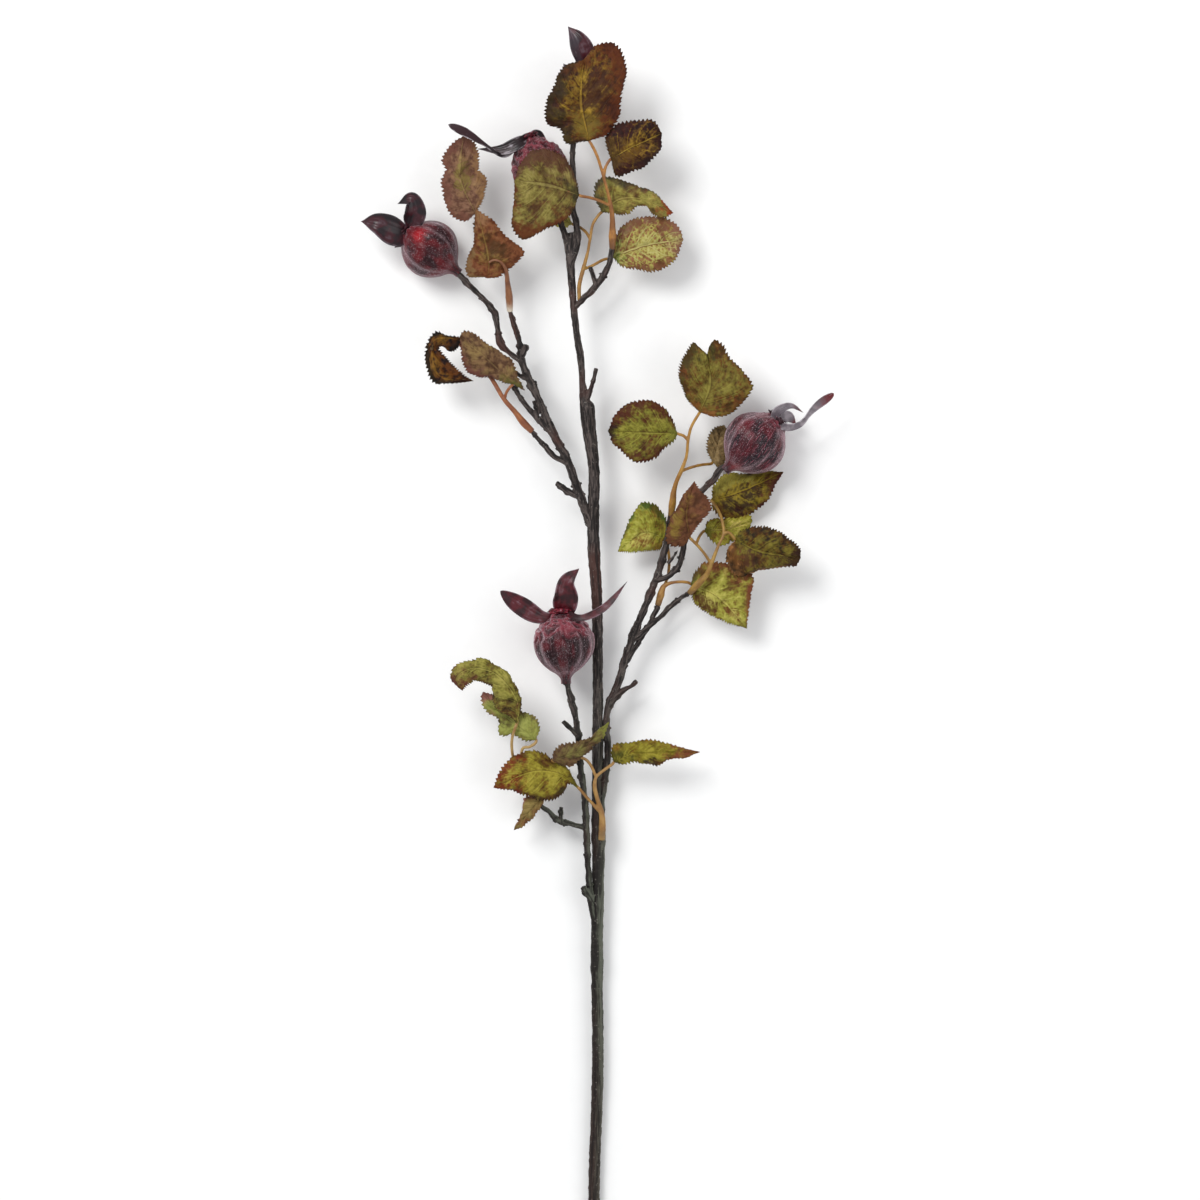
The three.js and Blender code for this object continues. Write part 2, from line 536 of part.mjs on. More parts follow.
// ---- leaf stalks --------------------------------------------------------------------------
// The first route of each stalk starts in the socket that is pushed over a twig.
const THIN = STALK_RADIUS;
const SOCKET = [SOCKET_RADIUS - 0.3, SOCKET_RADIUS + 0.2, 1.7]; // mouth, swelling, throat
const STALKS = {
  stalk_a: [
    {
      route: [
        [10, 261.5, 29], [10, 269.5, 31], [10, 280, 34], [9, 289, 37], [7, 297.5, 39.5],
        [4.5, 306.5, 41], [0, 321, 43], [-4, 329, 43.5],
      ],
      radii: [...SOCKET, 1.4, THIN, THIN, THIN, THIN],
    },
    { route: [[4.5, 306.5, 41], [5.5, 313.5, 42], [8, 318, 41.5]], radii: [THIN, THIN, THIN] },
    { route: [
      [9, 289, 37], [2, 292, 39], [-4.5, 294, 41.5], [-10.5, 295, 43],
    ], radii: [THIN, THIN, THIN, THIN] },
  ],
  stalk_b: [
    {
      route: [
        [-11.5, 228.5, 26], [-11.5, 238, 27], [-9, 248.5, 27.5], [-6, 259.5, 29], [-4.5, 268, 30],
        [-2.5, 278, 30.5], [1.5, 284, 30.5],
      ],
      radii: [1.3, 1.4, 1.4, THIN, THIN, THIN, THIN],
    },
    { route: [
      [-9, 248.5, 27.5], [-3, 251, 26], [4, 255, 23.5], [8, 256, 22.5],
    ], radii: [THIN, THIN, THIN, THIN] },
    { route: [
      [-4.5, 268, 30], [-7, 272.5, 27], [-11, 276, 23], [-15, 278, 20],
    ], radii: [THIN, THIN, THIN, THIN] },
  ],
  stalk_c: [
    {
      route: [
        [-56.5, 221.5, 23], [-57, 230.5, 25.5], [-58, 240, 29.5], [-59, 248, 34], [-62.5, 253, 36],
        [-67, 254, 35.5], [-70, 252.5, 35],
      ],
      radii: [...SOCKET, 1.1, 0.85, 0.8, 0.8],
    },
    { route: [
      [-58, 240, 29], [-60.5, 250, 27.5], [-68, 269.5, 27], [-77.5, 283, 29.5],
    ], radii: [THIN, THIN, THIN, THIN] },
  ],
  stalk_d: [
    {
      route: [
        [-42, 143.5, 24], [-47.5, 149, 25], [-53.5, 156.5, 26.5], [-60, 164, 27], [-69, 178.5, 26],
        [-79.5, 191, 24.5], [-89.5, 201, 25],
      ],
      radii: [...SOCKET, 1.5, 1.4, THIN, THIN],
    },
    { route: [[-60, 164, 27], [-59, 168, 28.5], [-56, 172.5, 30]], radii: [THIN, THIN, THIN] },
  ],
  stalk_e: [
    {
      route: [
        [48, 88.5, 22.5], [49, 97, 25], [50, 105.5, 27], [52, 112, 28.5], [54.5, 117.5, 30],
        [58, 127.5, 31.5], [59, 137.5, 33], [61, 146, 33.5], [65.5, 154, 34],
      ],
      radii: [...SOCKET, 1.4, 1.4, THIN, THIN, THIN, THIN],
    },
    { route: [
      [54.5, 117.5, 30], [60.5, 120, 26], [68, 122, 18], [74.5, 123, 9.5],
    ], radii: [THIN, THIN, THIN, THIN] },
    { route: [[59, 137.5, 33], [56, 140.5, 33], [53, 141.5, 33]], radii: [THIN, THIN, THIN] },
  ],
  stalk_f: [
    {
      route: [[39.5, 30.5, 18], [41.5, 37.5, 18.5], [43.5, 43, 19], [49.5, 45.5, 20], [59, 45.5, 20.5]],
      radii: [...SOCKET, THIN, THIN],
    },
    { route: [
      [43.5, 43, 19], [46, 49, 15.5], [47, 60, 13.5], [46, 68.5, 13], [44.5, 72.5, 13.5],
    ], radii: [THIN, THIN, THIN, THIN, THIN] },
  ],
  stalk_g: [
    {
      route: [
        [60, 38.5, 24], [65, 44, 27], [71, 50.5, 30], [74, 57.5, 32], [78.5, 69, 32], [82, 77, 31],
        [81, 86, 28], [78, 93.5, 22], [75, 98, 16],
      ],
      radii: [...SOCKET, 1.4, THIN, THIN, THIN, THIN, THIN],
    },
    { route: [
      [74, 57.5, 32], [70, 63.5, 33], [65.5, 69, 33], [61, 73.5, 33],
    ], radii: [THIN, THIN, THIN, THIN] },
    { route: [[64.5, 71, 33], [66.5, 75.5, 27], [69, 78.5, 21]], radii: [THIN, THIN, THIN] },
    { route: [[82, 77, 31], [85, 78, 31.5], [89, 74, 31]], radii: [THIN, THIN, THIN] },
  ],
  stalk_h: [
    {
      route: [
        [3, -122, 17.5], [3.5, -113, 19], [3, -104.5, 20], [0.5, -96, 20.5], [-1.5, -87, 22],
        [-0.5, -81, 22.5], [5, -76, 23], [10.5, -72, 24],
      ],
      radii: [SOCKET_RADIUS, SOCKET_RADIUS, 1.9, 1.4, 1.4, THIN, THIN, THIN],
    },
    { route: [[3, -104.5, 20], [-4.5, -96.5, 21.5], [-11.5, -88.5, 22.5]], radii: [1.4, THIN, THIN] },
    { route: [
      [-0.5, -81, 22.5], [-4.5, -72.5, 23.5], [-9, -68.5, 26], [-17.5, -68, 27.5], [-25.5, -70.5, 28.5],
    ], radii: [THIN, THIN, THIN, THIN, THIN] },
  ],
  stalk_i: [
    {
      route: [
        [-36.5, -99, 20], [-41.5, -92, 21], [-47, -85, 22], [-52.5, -75, 23.5], [-55, -64.5, 27],
        [-55, -55.5, 30.5], [-52.5, -47.5, 33],
      ],
      radii: [...SOCKET, THIN, THIN, THIN, THIN],
    },
    { route: [
      [-47, -85, 22], [-49, -73, 25], [-48, -62, 28], [-43.5, -61, 29.5], [-39.5, -58, 30],
    ], radii: [THIN, THIN, THIN, THIN, THIN] },
    { route: [[-41.5, -92, 21], [-37, -89.5, 23], [-34, -90, 24]], radii: [THIN, THIN, THIN] },
  ],
};

const twigsWithGap = Object.values(TWIGS).map((parts) => rods(parts, { ...ROUND_TWIG, grow: GAP }));

function stalkBody(parts) {
  const stalk = rods(parts, ROUND_STALK);
  return largestOf([stemWithGap, ...twigsWithGap].reduce((left, wood) => left.subtract(wood), stalk));
}

// ---- leaves -------------------------------------------------------------------------------
// Each leaf hangs on its rib, from the stalk to the tip. `left` and `right` are the points that
// its two margins pass through on the way, seen with the rib pointing away. `puff` arches the
// blade between rib and margin.
const LEAVES = {
  leaf_01: {
    rib: [[-5, 330.5, 44], [-10.5, 355, 47], [-8.5, 382.5, 48]],
    left: [
      [-20, 328.5, 44], [-24, 337, 45], [-32.5, 340.5, 46], [-34, 352.5, 47], [-28.5, 365.5, 48],
      [-22, 378.5, 48],
    ],
    right: [
      [6, 334, 43], [14.5, 345, 44], [16, 359, 46], [19.5, 377.5, 48], [13, 392.5, 50],
      [0.5, 392.5, 51],
    ],
    puff: 2,
  },
  leaf_02: {
    rib: [[9, 319, 42], [23, 326.5, 43], [42, 335.5, 43]],
    left: [[6, 325.5, 41], [5, 334, 39.5], [10, 341, 40], [23, 344, 43], [36.5, 344, 43]],
    right: [[12.5, 307, 41], [23, 310.5, 42], [33, 315, 43], [41.5, 325.5, 42]],
    puff: 2,
  },
  leaf_03: {
    rib: [[3, 285.5, 31], [16, 294, 33], [34.5, 292, 35], [49.5, 285, 30]],
    left: [[-1.5, 293, 31], [-2, 303, 31], [3, 308.5, 31], [18, 306, 33], [36, 298, 34]],
    right: [
      [11, 283.5, 30], [19, 283.5, 30], [28, 289, 32], [33, 288.5, 32.5], [36, 283, 30.5],
      [43, 281, 29],
    ],
    puff: 1.5,
  },
  leaf_04: {
    rib: [[10, 257, 23], [31, 264, 26], [56, 268, 26]],
    left: [[10.5, 268, 24], [18, 279, 25], [31, 283.5, 26], [46, 282, 27], [54, 275.5, 27]],
    right: [[14.5, 251, 24], [28, 247.5, 25], [41, 247.5, 26], [51.5, 255, 26]],
    puff: 2,
  },
  leaf_05: {
    rib: [[-11.5, 295.5, 43.5], [-30.5, 301.5, 47], [-53.5, 304.5, 46]],
    left: [
      [-16, 284.5, 42], [-22, 278, 42], [-34, 272.5, 42], [-48, 267, 39], [-55, 273.5, 41],
      [-54, 291, 44],
    ],
    right: [[-13, 306, 43], [-19, 319, 43], [-28.5, 324.5, 44], [-41, 325.5, 44], [-50, 315.5, 45]],
    puff: 2,
  },
  leaf_06: {
    rib: [[-78.5, 284.5, 31], [-88.5, 307, 37], [-86.5, 334.5, 35]],
    left: [
      [-85, 279, 30], [-95, 283, 31], [-100, 296.5, 33], [-101.5, 306, 33], [-99, 312.5, 33],
      [-101.5, 319, 33], [-93.5, 330.5, 35],
    ],
    right: [
      [-74, 291, 33], [-71.5, 300.5, 35], [-71, 307, 35], [-75.5, 312.5, 33], [-76, 323.5, 34],
      [-80, 332, 35],
    ],
    puff: -1.5,
  },
  leaf_07: {
    rib: [[-71, 242.5, 31.5], [-70, 252.5, 33], [-73, 268, 35], [-78, 287, 38]],
    left: [
      [-75, 243, 31], [-79.5, 243, 30.5], [-84.5, 244, 29], [-84.5, 254, 29], [-81, 268, 31],
      [-80, 280, 34],
    ],
    right: [
      [-67, 242.5, 31], [-62.5, 243.5, 31], [-56.5, 248, 30], [-47, 259.5, 31], [-58, 269.5, 34],
      [-68, 280.5, 36],
    ],
    puff: 1.5,
  },
  leaf_08: {
    rib: [
      [-87, 202, 28], [-97.5, 204, 31], [-105.5, 202, 35], [-106.5, 190, 36], [-102, 179, 35],
      [-80, 176, 31],
    ],
    left: [
      [-89.5, 198, 27.5], [-93.5, 195, 25.5], [-99.5, 198.5, 28.5], [-101.5, 197.5, 32],
      [-95.5, 189.5, 33], [-88, 182.5, 32],
    ],
    right: [
      [-89.5, 205, 28.5], [-97.5, 206, 31], [-104, 209, 33], [-110.5, 201, 33], [-111, 187, 32],
      [-107, 174.5, 32], [-94, 174, 31],
    ],
    puff: -1,
  },
  leaf_09: {
    rib: [[-54.5, 174, 30.5], [-71, 190, 34], [-89, 204.5, 32]],
    left: [
      [-60, 174.5, 30], [-64.5, 176.5, 31], [-76, 178.5, 32], [-85, 182.5, 31], [-88.5, 193.5, 32],
    ],
    right: [
      [-46.5, 170, 27.5], [-51.5, 180.5, 29], [-55, 189, 29], [-63, 195.5, 29], [-72, 201, 30],
      [-79.5, 207, 30], [-87, 209, 31],
    ],
    puff: 1.5,
  },
  leaf_10: {
    rib: [[66.5, 155.5, 34], [73, 174, 37], [71.5, 192.5, 36]],
    left: [
      [60, 161, 34], [54.5, 170.5, 35], [52.5, 183.5, 36], [56.5, 194, 38], [62.5, 201, 39],
      [67, 196.5, 38],
    ],
    right: [
      [76.5, 152.5, 34], [87, 154.5, 35], [96, 163, 36], [101.5, 173, 36], [94, 183.5, 36],
      [86, 192, 36], [82, 200, 38], [75.5, 202.5, 39],
    ],
    puff: 1.5,
  },
  leaf_11: {
    rib: [[52, 142, 33], [31, 142, 34.5], [7, 143.5, 33]],
    left: [
      [50.5, 137, 33], [43.5, 131.5, 33], [37.5, 125, 34], [26.5, 122.5, 34], [16, 129, 34],
      [10, 136, 33],
    ],
    right: [[50, 151, 33], [41, 161, 34], [29, 164, 35], [17, 160, 35], [10, 152, 34]],
    puff: 2,
  },
  leaf_12: {
    rib: [[75.5, 124, 8.5], [78, 135, 6], [83, 148.5, 5]],
    left: [[72, 128.5, 8], [71, 138, 7], [75.5, 146.5, 6]],
    right: [[81, 117.5, 7], [84.5, 125, 4], [85, 135, 3], [86.5, 143.5, 4]],
    puff: 1,
  },
  leaf_13: {
    rib: [[74.5, 99, 14], [93, 104.5, 11], [121.5, 117.5, 12]],
    left: [[75.5, 109, 11], [84.5, 116.5, 6], [96, 118, 4.5], [109, 118.5, 5]],
    right: [
      [75, 92.5, 14], [81, 87, 13], [90.5, 86, 12], [101, 90, 11], [112, 99, 11], [116.5, 107.5, 11],
    ],
    puff: 1.5,
  },
  leaf_14: {
    rib: [[60, 74.5, 33.5], [58, 91.5, 37], [63, 111, 36]],
    left: [[54.5, 68.5, 33], [45.5, 70, 33], [44, 77.5, 34], [48, 87, 35], [55, 100.5, 36]],
    right: [[65, 81, 34], [69.5, 87.5, 35], [75, 94, 35], [73, 100, 35], [67.5, 105, 36]],
    puff: 1.5,
  },
  leaf_15: {
    rib: [[44, 74.5, 14.5], [31, 77.5, 18], [13.5, 65.5, 20]],
    left: [[41.5, 66.5, 15], [34.5, 65.5, 17], [24.5, 64.5, 19]],
    right: [
      [47.5, 81.5, 14.5], [44, 90, 16], [39, 96.5, 18], [29, 98, 19], [24, 91.5, 20], [17.5, 78.5, 20],
    ],
    puff: 1.5,
  },
  leaf_16: {
    rib: [[70, 79, 20], [85, 80.5, 21], [101, 85.5, 20]],
    left: [[71.5, 85.5, 19], [80, 88.5, 19], [91.5, 88, 19], [99.5, 90, 19]],
    right: [[73, 73, 20], [80, 69, 20], [89.5, 72.5, 20], [98, 77.5, 20]],
    puff: 1,
  },
  leaf_17: {
    rib: [[90, 73, 30.5], [106, 65.5, 34], [132, 61.5, 31]],
    left: [[91, 77.5, 31], [101, 82, 32], [112.5, 81.5, 34], [123.5, 75.5, 34], [132, 67.5, 33]],
    right: [
      [84.5, 68, 29], [83, 59.5, 27], [88.5, 49.5, 26], [96, 49, 26], [101.5, 51.5, 27],
      [115.5, 54.5, 28], [129.5, 56, 30],
    ],
    puff: 2,
  },
  leaf_18: {
    rib: [[61, 44.5, 20.5], [78, 36.5, 22], [97.5, 15.5, 20]],
    left: [
      [63, 52.5, 20], [71, 59.5, 20], [81, 59, 21], [93, 55, 22], [101.5, 51, 22], [101, 40.5, 22],
      [99, 27.5, 21],
    ],
    right: [[61, 35.5, 20], [68, 27, 20], [76.5, 23, 20], [86, 18.5, 20]],
    puff: 1.5,
  },
  leaf_19: {
    rib: [
      [-52, -46, 33], [-50.5, -35, 37], [-56.5, -22.5, 41], [-67.5, -12.5, 43], [-80.5, -10, 42],
      [-90.5, -15.5, 38], [-87, -24.5, 34],
    ],
    left: [
      [-57, -41.5, 32], [-65, -36.5, 33], [-68, -29, 35], [-66.5, -24.5, 37], [-71.5, -21, 38],
      [-78.5, -18, 38], [-83, -21, 36],
    ],
    right: [
      [-49, -35, 35], [-50.5, -25.5, 38], [-55, -17, 39], [-65, -8, 40], [-76, -3.5, 40],
      [-85, -5.5, 39], [-93.5, -9.5, 37], [-95, -17, 35],
    ],
    puff: 1,
  },
  leaf_20: {
    rib: [[-39.5, -56.5, 30.5], [-50, -48.5, 28], [-63, -38.5, 26], [-74, -25.5, 25]],
    left: [
      [-47, -58, 28], [-55, -53.5, 26], [-63, -54.5, 25], [-64.5, -45, 25], [-71.5, -39.5, 24],
      [-76, -29.5, 25],
    ],
    right: [[-36.5, -49, 31], [-39, -41.5, 30], [-47, -38, 28], [-56.5, -35, 26], [-65.5, -27.5, 25]],
    puff: 1,
  },
  leaf_21: {
    rib: [[-12.5, -87.5, 23], [-23, -79.5, 27], [-40.5, -77, 33], [-67, -87.5, 30]],
    left: [
      [-18, -85, 24], [-21.5, -91.5, 26], [-30.5, -96.5, 28], [-37, -96, 29], [-45, -93.5, 30],
      [-55, -90.5, 30],
    ],
    right: [
      [-16, -79.5, 23], [-21, -74, 23.5], [-28.5, -68, 24], [-39, -63.5, 27], [-50, -64.5, 30],
      [-60, -72, 31], [-65, -79.5, 31],
    ],
    puff: 2,
  },
  leaf_22: {
    rib: [[-33.5, -92, 24.5], [-43, -102.5, 24], [-54, -115.5, 20]],
    left: [[-35, -98, 23], [-39.5, -105.5, 23], [-43.5, -110, 22], [-49.5, -113.5, 20]],
    right: [[-41, -92.5, 24], [-47.5, -94, 23], [-48, -101, 22], [-50.5, -107.5, 20]],
    puff: 1,
  },
  leaf_23: {
    rib: [[-29, -70, 31], [-13, -64, 32.5], [8, -45, 31]],
    left: [[-28.5, -64.5, 30], [-23.5, -59, 30], [-12.5, -57.5, 31], [-3, -54.5, 31], [2.5, -50.5, 31]],
    right: [[-24, -73, 29.5], [-17.5, -74, 29], [-10, -68.5, 29], [-3, -63.5, 30], [4.5, -55, 30]],
    puff: 1,
  },
  leaf_24: {
    rib: [[11, -71, 25], [24, -65.5, 28], [44, -64.5, 29], [67, -64.5, 26]],
    left: [
      [8.5, -66, 25], [10.5, -59.5, 26], [21.5, -58, 27], [34.5, -55.5, 28], [46, -59, 28],
      [55, -61.5, 27],
    ],
    right: [
      [16, -73, 25], [25.5, -70.5, 25], [33, -73, 25], [39.5, -74.5, 25], [45.5, -70, 27],
      [57, -68.5, 26],
    ],
    puff: 1.5,
  },
  leaf_25: {
    rib: [[-16, 278.5, 20], [-24, 283, 17], [-34.5, 285, 14]],
    left: [[-21, 275.5, 18], [-29, 279, 15]],
    right: [[-19.5, 287, 18], [-27.5, 290, 15]],
    puff: 1,
  },
};

// ---- the sprig ----------------------------------------------------------------------------
const sprig = new THREE.Group();

function addPiece(name, body, finish) {
  const material = new THREE.MeshStandardMaterial({ metalness: 0, ...finish });
  const mesh = new THREE.Mesh(toGeometry(body), material);
  mesh.name = name;
  sprig.add(mesh);
}

addPiece("stem_main", stemBody(), FINISH.bark);
for (const [name, parts] of Object.entries(TWIGS)) {
  addPiece(name, largestOf(rods(parts, ROUND_TWIG).subtract(stemWithGap)), FINISH.bark);
}
for (const [number, hip] of Object.entries(HIPS)) {
  addPiece(`hip_${number}`, cutAtTable(hipBody(hip, Number(number))), FINISH.hip);
  addPiece(`calyx_${number}`, calyxBody(Number(number)), FINISH.sepal);
}
for (const [name, parts] of Object.entries(STALKS)) addPiece(name, stalkBody(parts), FINISH.stalk);
for (const [name, leaf] of Object.entries(LEAVES)) addPiece(name, leafBody(leaf), FINISH.leaf);

export default sprig;
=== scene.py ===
# %% [markdown]
# # A decorative rose hip sprig
# The sprig lies on a table. It has a wire stem wrapped in dark tape, moulded twigs, five frosted hips
# with dried sepals, orange plastic leaf stalks pushed over the twig ends, and leaves cut from printed
# cloth. Each step below makes one kind of piece: first its form from a few given measures, then
# the finish that its real material has. All measures are in millimetres until a mesh is made.

import json
import math
from functools import partial

import bmesh
import bpy
import numpy as np
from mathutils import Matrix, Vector, kdtree, noise

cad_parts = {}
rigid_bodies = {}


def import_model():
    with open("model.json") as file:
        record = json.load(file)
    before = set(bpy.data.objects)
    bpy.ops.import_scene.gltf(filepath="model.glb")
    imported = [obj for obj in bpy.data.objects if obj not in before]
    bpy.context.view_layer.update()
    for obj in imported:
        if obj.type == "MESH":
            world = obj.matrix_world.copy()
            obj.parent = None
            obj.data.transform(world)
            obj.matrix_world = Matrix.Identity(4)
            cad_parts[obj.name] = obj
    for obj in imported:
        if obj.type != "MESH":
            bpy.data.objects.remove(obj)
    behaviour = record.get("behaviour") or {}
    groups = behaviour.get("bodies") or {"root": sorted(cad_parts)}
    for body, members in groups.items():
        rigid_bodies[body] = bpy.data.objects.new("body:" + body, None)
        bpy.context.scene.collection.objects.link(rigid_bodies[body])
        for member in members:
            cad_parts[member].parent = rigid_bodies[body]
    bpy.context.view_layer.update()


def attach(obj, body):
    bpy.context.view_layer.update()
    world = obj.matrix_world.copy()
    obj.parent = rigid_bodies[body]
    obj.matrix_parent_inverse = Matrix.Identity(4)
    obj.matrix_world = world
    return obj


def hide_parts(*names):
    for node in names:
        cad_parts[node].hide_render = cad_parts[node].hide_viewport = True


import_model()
MM = 0.001

# %% [markdown]
# ## Camera
# A sprig with no base is laid down and looked at from straight above. A long lens far away keeps the
# near hips and the far stem at one scale, so that a slender thing keeps its true proportions.

# %% Camera above the table
VIEW_CENTRE = (1.95, 34.1)
VIEW_WIDTH = 780
VIEW_PLANE = 20
CAMERA_DISTANCE = 3500
SENSOR_WIDTH = 36

camera_data = bpy.data.cameras.new("camera_above")
camera_data.sensor_width = SENSOR_WIDTH
camera_data.lens = SENSOR_WIDTH * CAMERA_DISTANCE / VIEW_WIDTH
camera_data.clip_end = 50
camera = bpy.data.objects.new("camera_above", camera_data)
camera.location = (VIEW_CENTRE[0] * MM, VIEW_CENTRE[1] * MM, (VIEW_PLANE + CAMERA_DISTANCE) * MM)
bpy.context.scene.collection.objects.link(camera)
bpy.context.scene.camera = camera
print("lens", round(camera_data.lens, 1), "mm")

# %% [markdown]
# ## Colours and material nodes
# Colours are given as sRGB hex values, the way paint and print are usually matched. Shaders work
# in linear light, so one function turns hex into linear numbers. A second small function adds a
# node of any kind with its settings and links, and every material below is made with it. Two kinds
# of node are used so often that a recipe gives each a short name.

# %% Colour and node helpers
# A recipe is a node's type, its settings, the inputs that its values go to, and its output.
RECIPES = {
    "blend": ("Mix", {"data_type": "RGBA"}, (0, 6, 7), 2),  # share, first colour, second colour
    "step": ("MapRange", {"interpolation_type": "SMOOTHSTEP"}, (0, 1, 2), 0),  # 0 at low, 1 at high
}


def linear(hex_colour):
    channels = [int(hex_colour[i : i + 2], 16) / 255 for i in (1, 3, 5)]
    return [c / 12.92 if c <= 0.04045 else ((c + 0.055) / 1.055) ** 2.4 for c in channels] + [1]


def add_node(tree, kind, *values, output=None, **named):
    """Adds a node and returns one of its outputs. The kind is a recipe, a node type, or a sum's name
    in capitals. Values go to the inputs in turn. A named one is a setting or an input by its name."""
    plain = ("Math", {"operation": kind}) if kind.isupper() else (kind, {})
    kind, settings, order, first_output = RECIPES.get(kind, (*plain, (0, 1, 2), 0))
    node = tree.nodes.new("ShaderNode" + kind)
    given = dict(zip(order, values))
    for key, value in {**settings, **named}.items():
        if hasattr(node, key):
            setattr(node, key, value)
        else:
            given[key.replace("_", " ")] = value
    for key, value in given.items():
        if isinstance(value, bpy.types.NodeSocket):
            tree.links.new(value, node.inputs[key])
        else:
            node.inputs[key].default_value = linear(value) if isinstance(value, str) else value
    return node.outputs[first_output if output is None else output]


print("a half-strength hex, #808080, is", round(linear("#808080")[0], 3), "in linear light")


# %% Material helpers
def new_material(name, roughness, ior=1.5, **shader_values):
    """A material, its bare shader, and add_node bound to its tree. Values that are the same all over
    sit on the shader's own sockets."""
    material = bpy.data.materials.new(name)
    material.use_nodes = True
    shader = material.node_tree.nodes["Principled BSDF"]
    for key, value in {"Roughness": roughness, "IOR": ior, **shader_values}.items():
        shader.inputs[key.replace("_", " ")].default_value = value
    return material, shader, partial(add_node, material.node_tree)


def paint(shader, colour, relief=None, strength=0, depth=0):
    """Links a colour to the shader and, where there is one, a fine relief up to `depth` metres deep."""
    links = shader.id_data.links
    links.new(colour, shader.inputs["Base Color"])
    if relief is not None:
        bump = add_node(shader.id_data, "Bump", Height=relief, Strength=strength, Distance=depth)
        links.new(bump, shader.inputs["Normal"])


# %% [markdown]
# ## Floor and light
# A pale, matt floor and a pale surround give soft light from all sides, as a light tent does. One
# large lamp at the upper left adds gentle shading, and a weaker one at the right keeps the shaded
# sides open.

# %% Floor and lamps
FLOOR_RADIUS = 6
floor_mesh = bpy.data.meshes.new("floor")
corners = [
    (FLOOR_RADIUS * math.cos(turn), FLOOR_RADIUS * math.sin(turn), 0)
    for turn in np.linspace(0, 2 * math.pi, 64, endpoint=False)
]
floor_mesh.from_pydata(corners, [], [list(range(len(corners)))])
floor = bpy.data.objects.new("floor", floor_mesh)
bpy.context.scene.collection.objects.link(floor)
paper, shader, node = new_material("matt_white_paper", 0.9)
paint(shader, node("blend", node("TexNoise", Scale=900.0), "#f4f4f2", "#f8f8f6"))  # 1 mm grain
floor_mesh.materials.append(paper)

world = bpy.data.worlds.new("light_tent")
world.use_nodes = True
bpy.context.scene.world = world
world.node_tree.nodes["Background"].inputs["Color"].default_value = linear("#fafbff")
world.node_tree.nodes["Background"].inputs["Strength"].default_value = 0.66


def soft_lamp(name, spot, size, watts):
    lamp_data = bpy.data.lights.new(name, "AREA")
    lamp_data.size = size
    lamp_data.energy = watts
    lamp = bpy.data.objects.new(name, lamp_data)
    lamp.location = spot
    lamp.rotation_euler = (Vector((0, 0, 0)) - Vector(spot)).to_track_quat("-Z", "Y").to_euler()
    bpy.context.scene.collection.objects.link(lamp)
    print(name, watts, "W")


soft_lamp("key_lamp", (-1.1, 1.2, 1.9), 1.1, 38)
soft_lamp("fill_lamp", (1.6, -0.4, 1.6), 1.6, 11)
bpy.context.scene.view_settings.view_transform = "Standard"

# %% [markdown]
# ## Smooth curves
# Stems, stalks, ribs and margins all follow curves through a few given points. A centripetal
# Catmull-Rom curve passes through every point without loops or overshoot, which suits wire and
# stiffened cloth. The function returns places by share of the curve's length, so rings and rows
# come out evenly spaced.

# %% Curve helper
CURVE_STEPS = 24


def smooth_curve(route):
    """Returns (at, length, place): the point and the route index at a share of the length."""
    points = np.array(route, float)
    ends = np.vstack([2 * points[0] - points[1], points, 2 * points[-1] - points[-2]])
    knots = np.sqrt(np.linalg.norm(np.diff(ends, axis=0), axis=1))
    step = np.linspace(0, 1, CURVE_STEPS, endpoint=False)[:, None]
    line = []
    for k in range(len(points) - 1):
        before, start, end, after = ends[k : k + 4]
        gap_in, gap, gap_out = knots[k : k + 3]
        leave = gap * ((start - before) / gap_in - (end - before) / (gap_in + gap) + (end - start) / gap)
        arrive = gap * ((end - start) / gap - (after - start) / (gap + gap_out) + (after - end) / gap_out)
        square = 3 * (end - start) - 2 * leave - arrive
        cube = 2 * (start - end) + leave + arrive
        line.append(start + leave * step + square * step**2 + cube * step**3)
    line = np.vstack(line + [points[-1:]])
    walked = np.concatenate([[0], np.cumsum(np.linalg.norm(np.diff(line, axis=0), axis=1))])
    share = walked / walked[-1]
    index = np.arange(len(line)) / CURVE_STEPS

    def at(t):
        return np.stack([np.interp(t, share, line[:, axis]) for axis in range(3)], axis=-1)

    def place(t):
        return np.interp(t, share, index)

    return at, walked[-1], place


def unit(vectors):
    return vectors / np.maximum(np.linalg.norm(vectors, axis=-1, keepdims=True), 1e-12)


bow_length = smooth_curve([(-10, 0, 0), (0, 5, 0), (10, 0, 0)])[1]
print("a bow 20 mm wide and 5 mm high is", round(bow_length, 1), "mm along")

# %% [markdown]
# ## Meshes from points
# Every piece below ends as arrays of points and faces. The first helper turns a mesh into an object,
# gives it its materials, lets it ride on the sprig's one body, and hides the plain solid that it
# stands for. The others move arrays in and out of a mesh, in metres there and in millimetres here.
# Rods, hips and collars are all rings of points, so they share the functions that lay faces between
# rings. Blender's own primitives would need as much bending afterwards as these need code.

# %% Piece helper
def make_piece(name, mesh, materials):
    mesh.name = name
    for material in materials:
        mesh.materials.append(material)
    mesh.polygons.foreach_set("use_smooth", [True] * len(mesh.polygons))
    piece = bpy.data.objects.new(name + "_skin", mesh)
    bpy.context.scene.collection.objects.link(piece)
    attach(piece, "root")
    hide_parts(name)
    print(name, "has", len(mesh.polygons), "faces")


def mesh_from(points, faces):
    mesh = bpy.data.meshes.new("draft")
    mesh.from_pydata((np.asarray(points) * MM).tolist(), [], faces)
    mesh.update()
    return mesh


def vectors_of(rows, key):
    """One vector for each row of a mesh's own list, as an array."""
    values = np.zeros(len(rows) * 3, np.float32)
    rows.foreach_get(key, values)
    return values.reshape(-1, 3).astype(float)


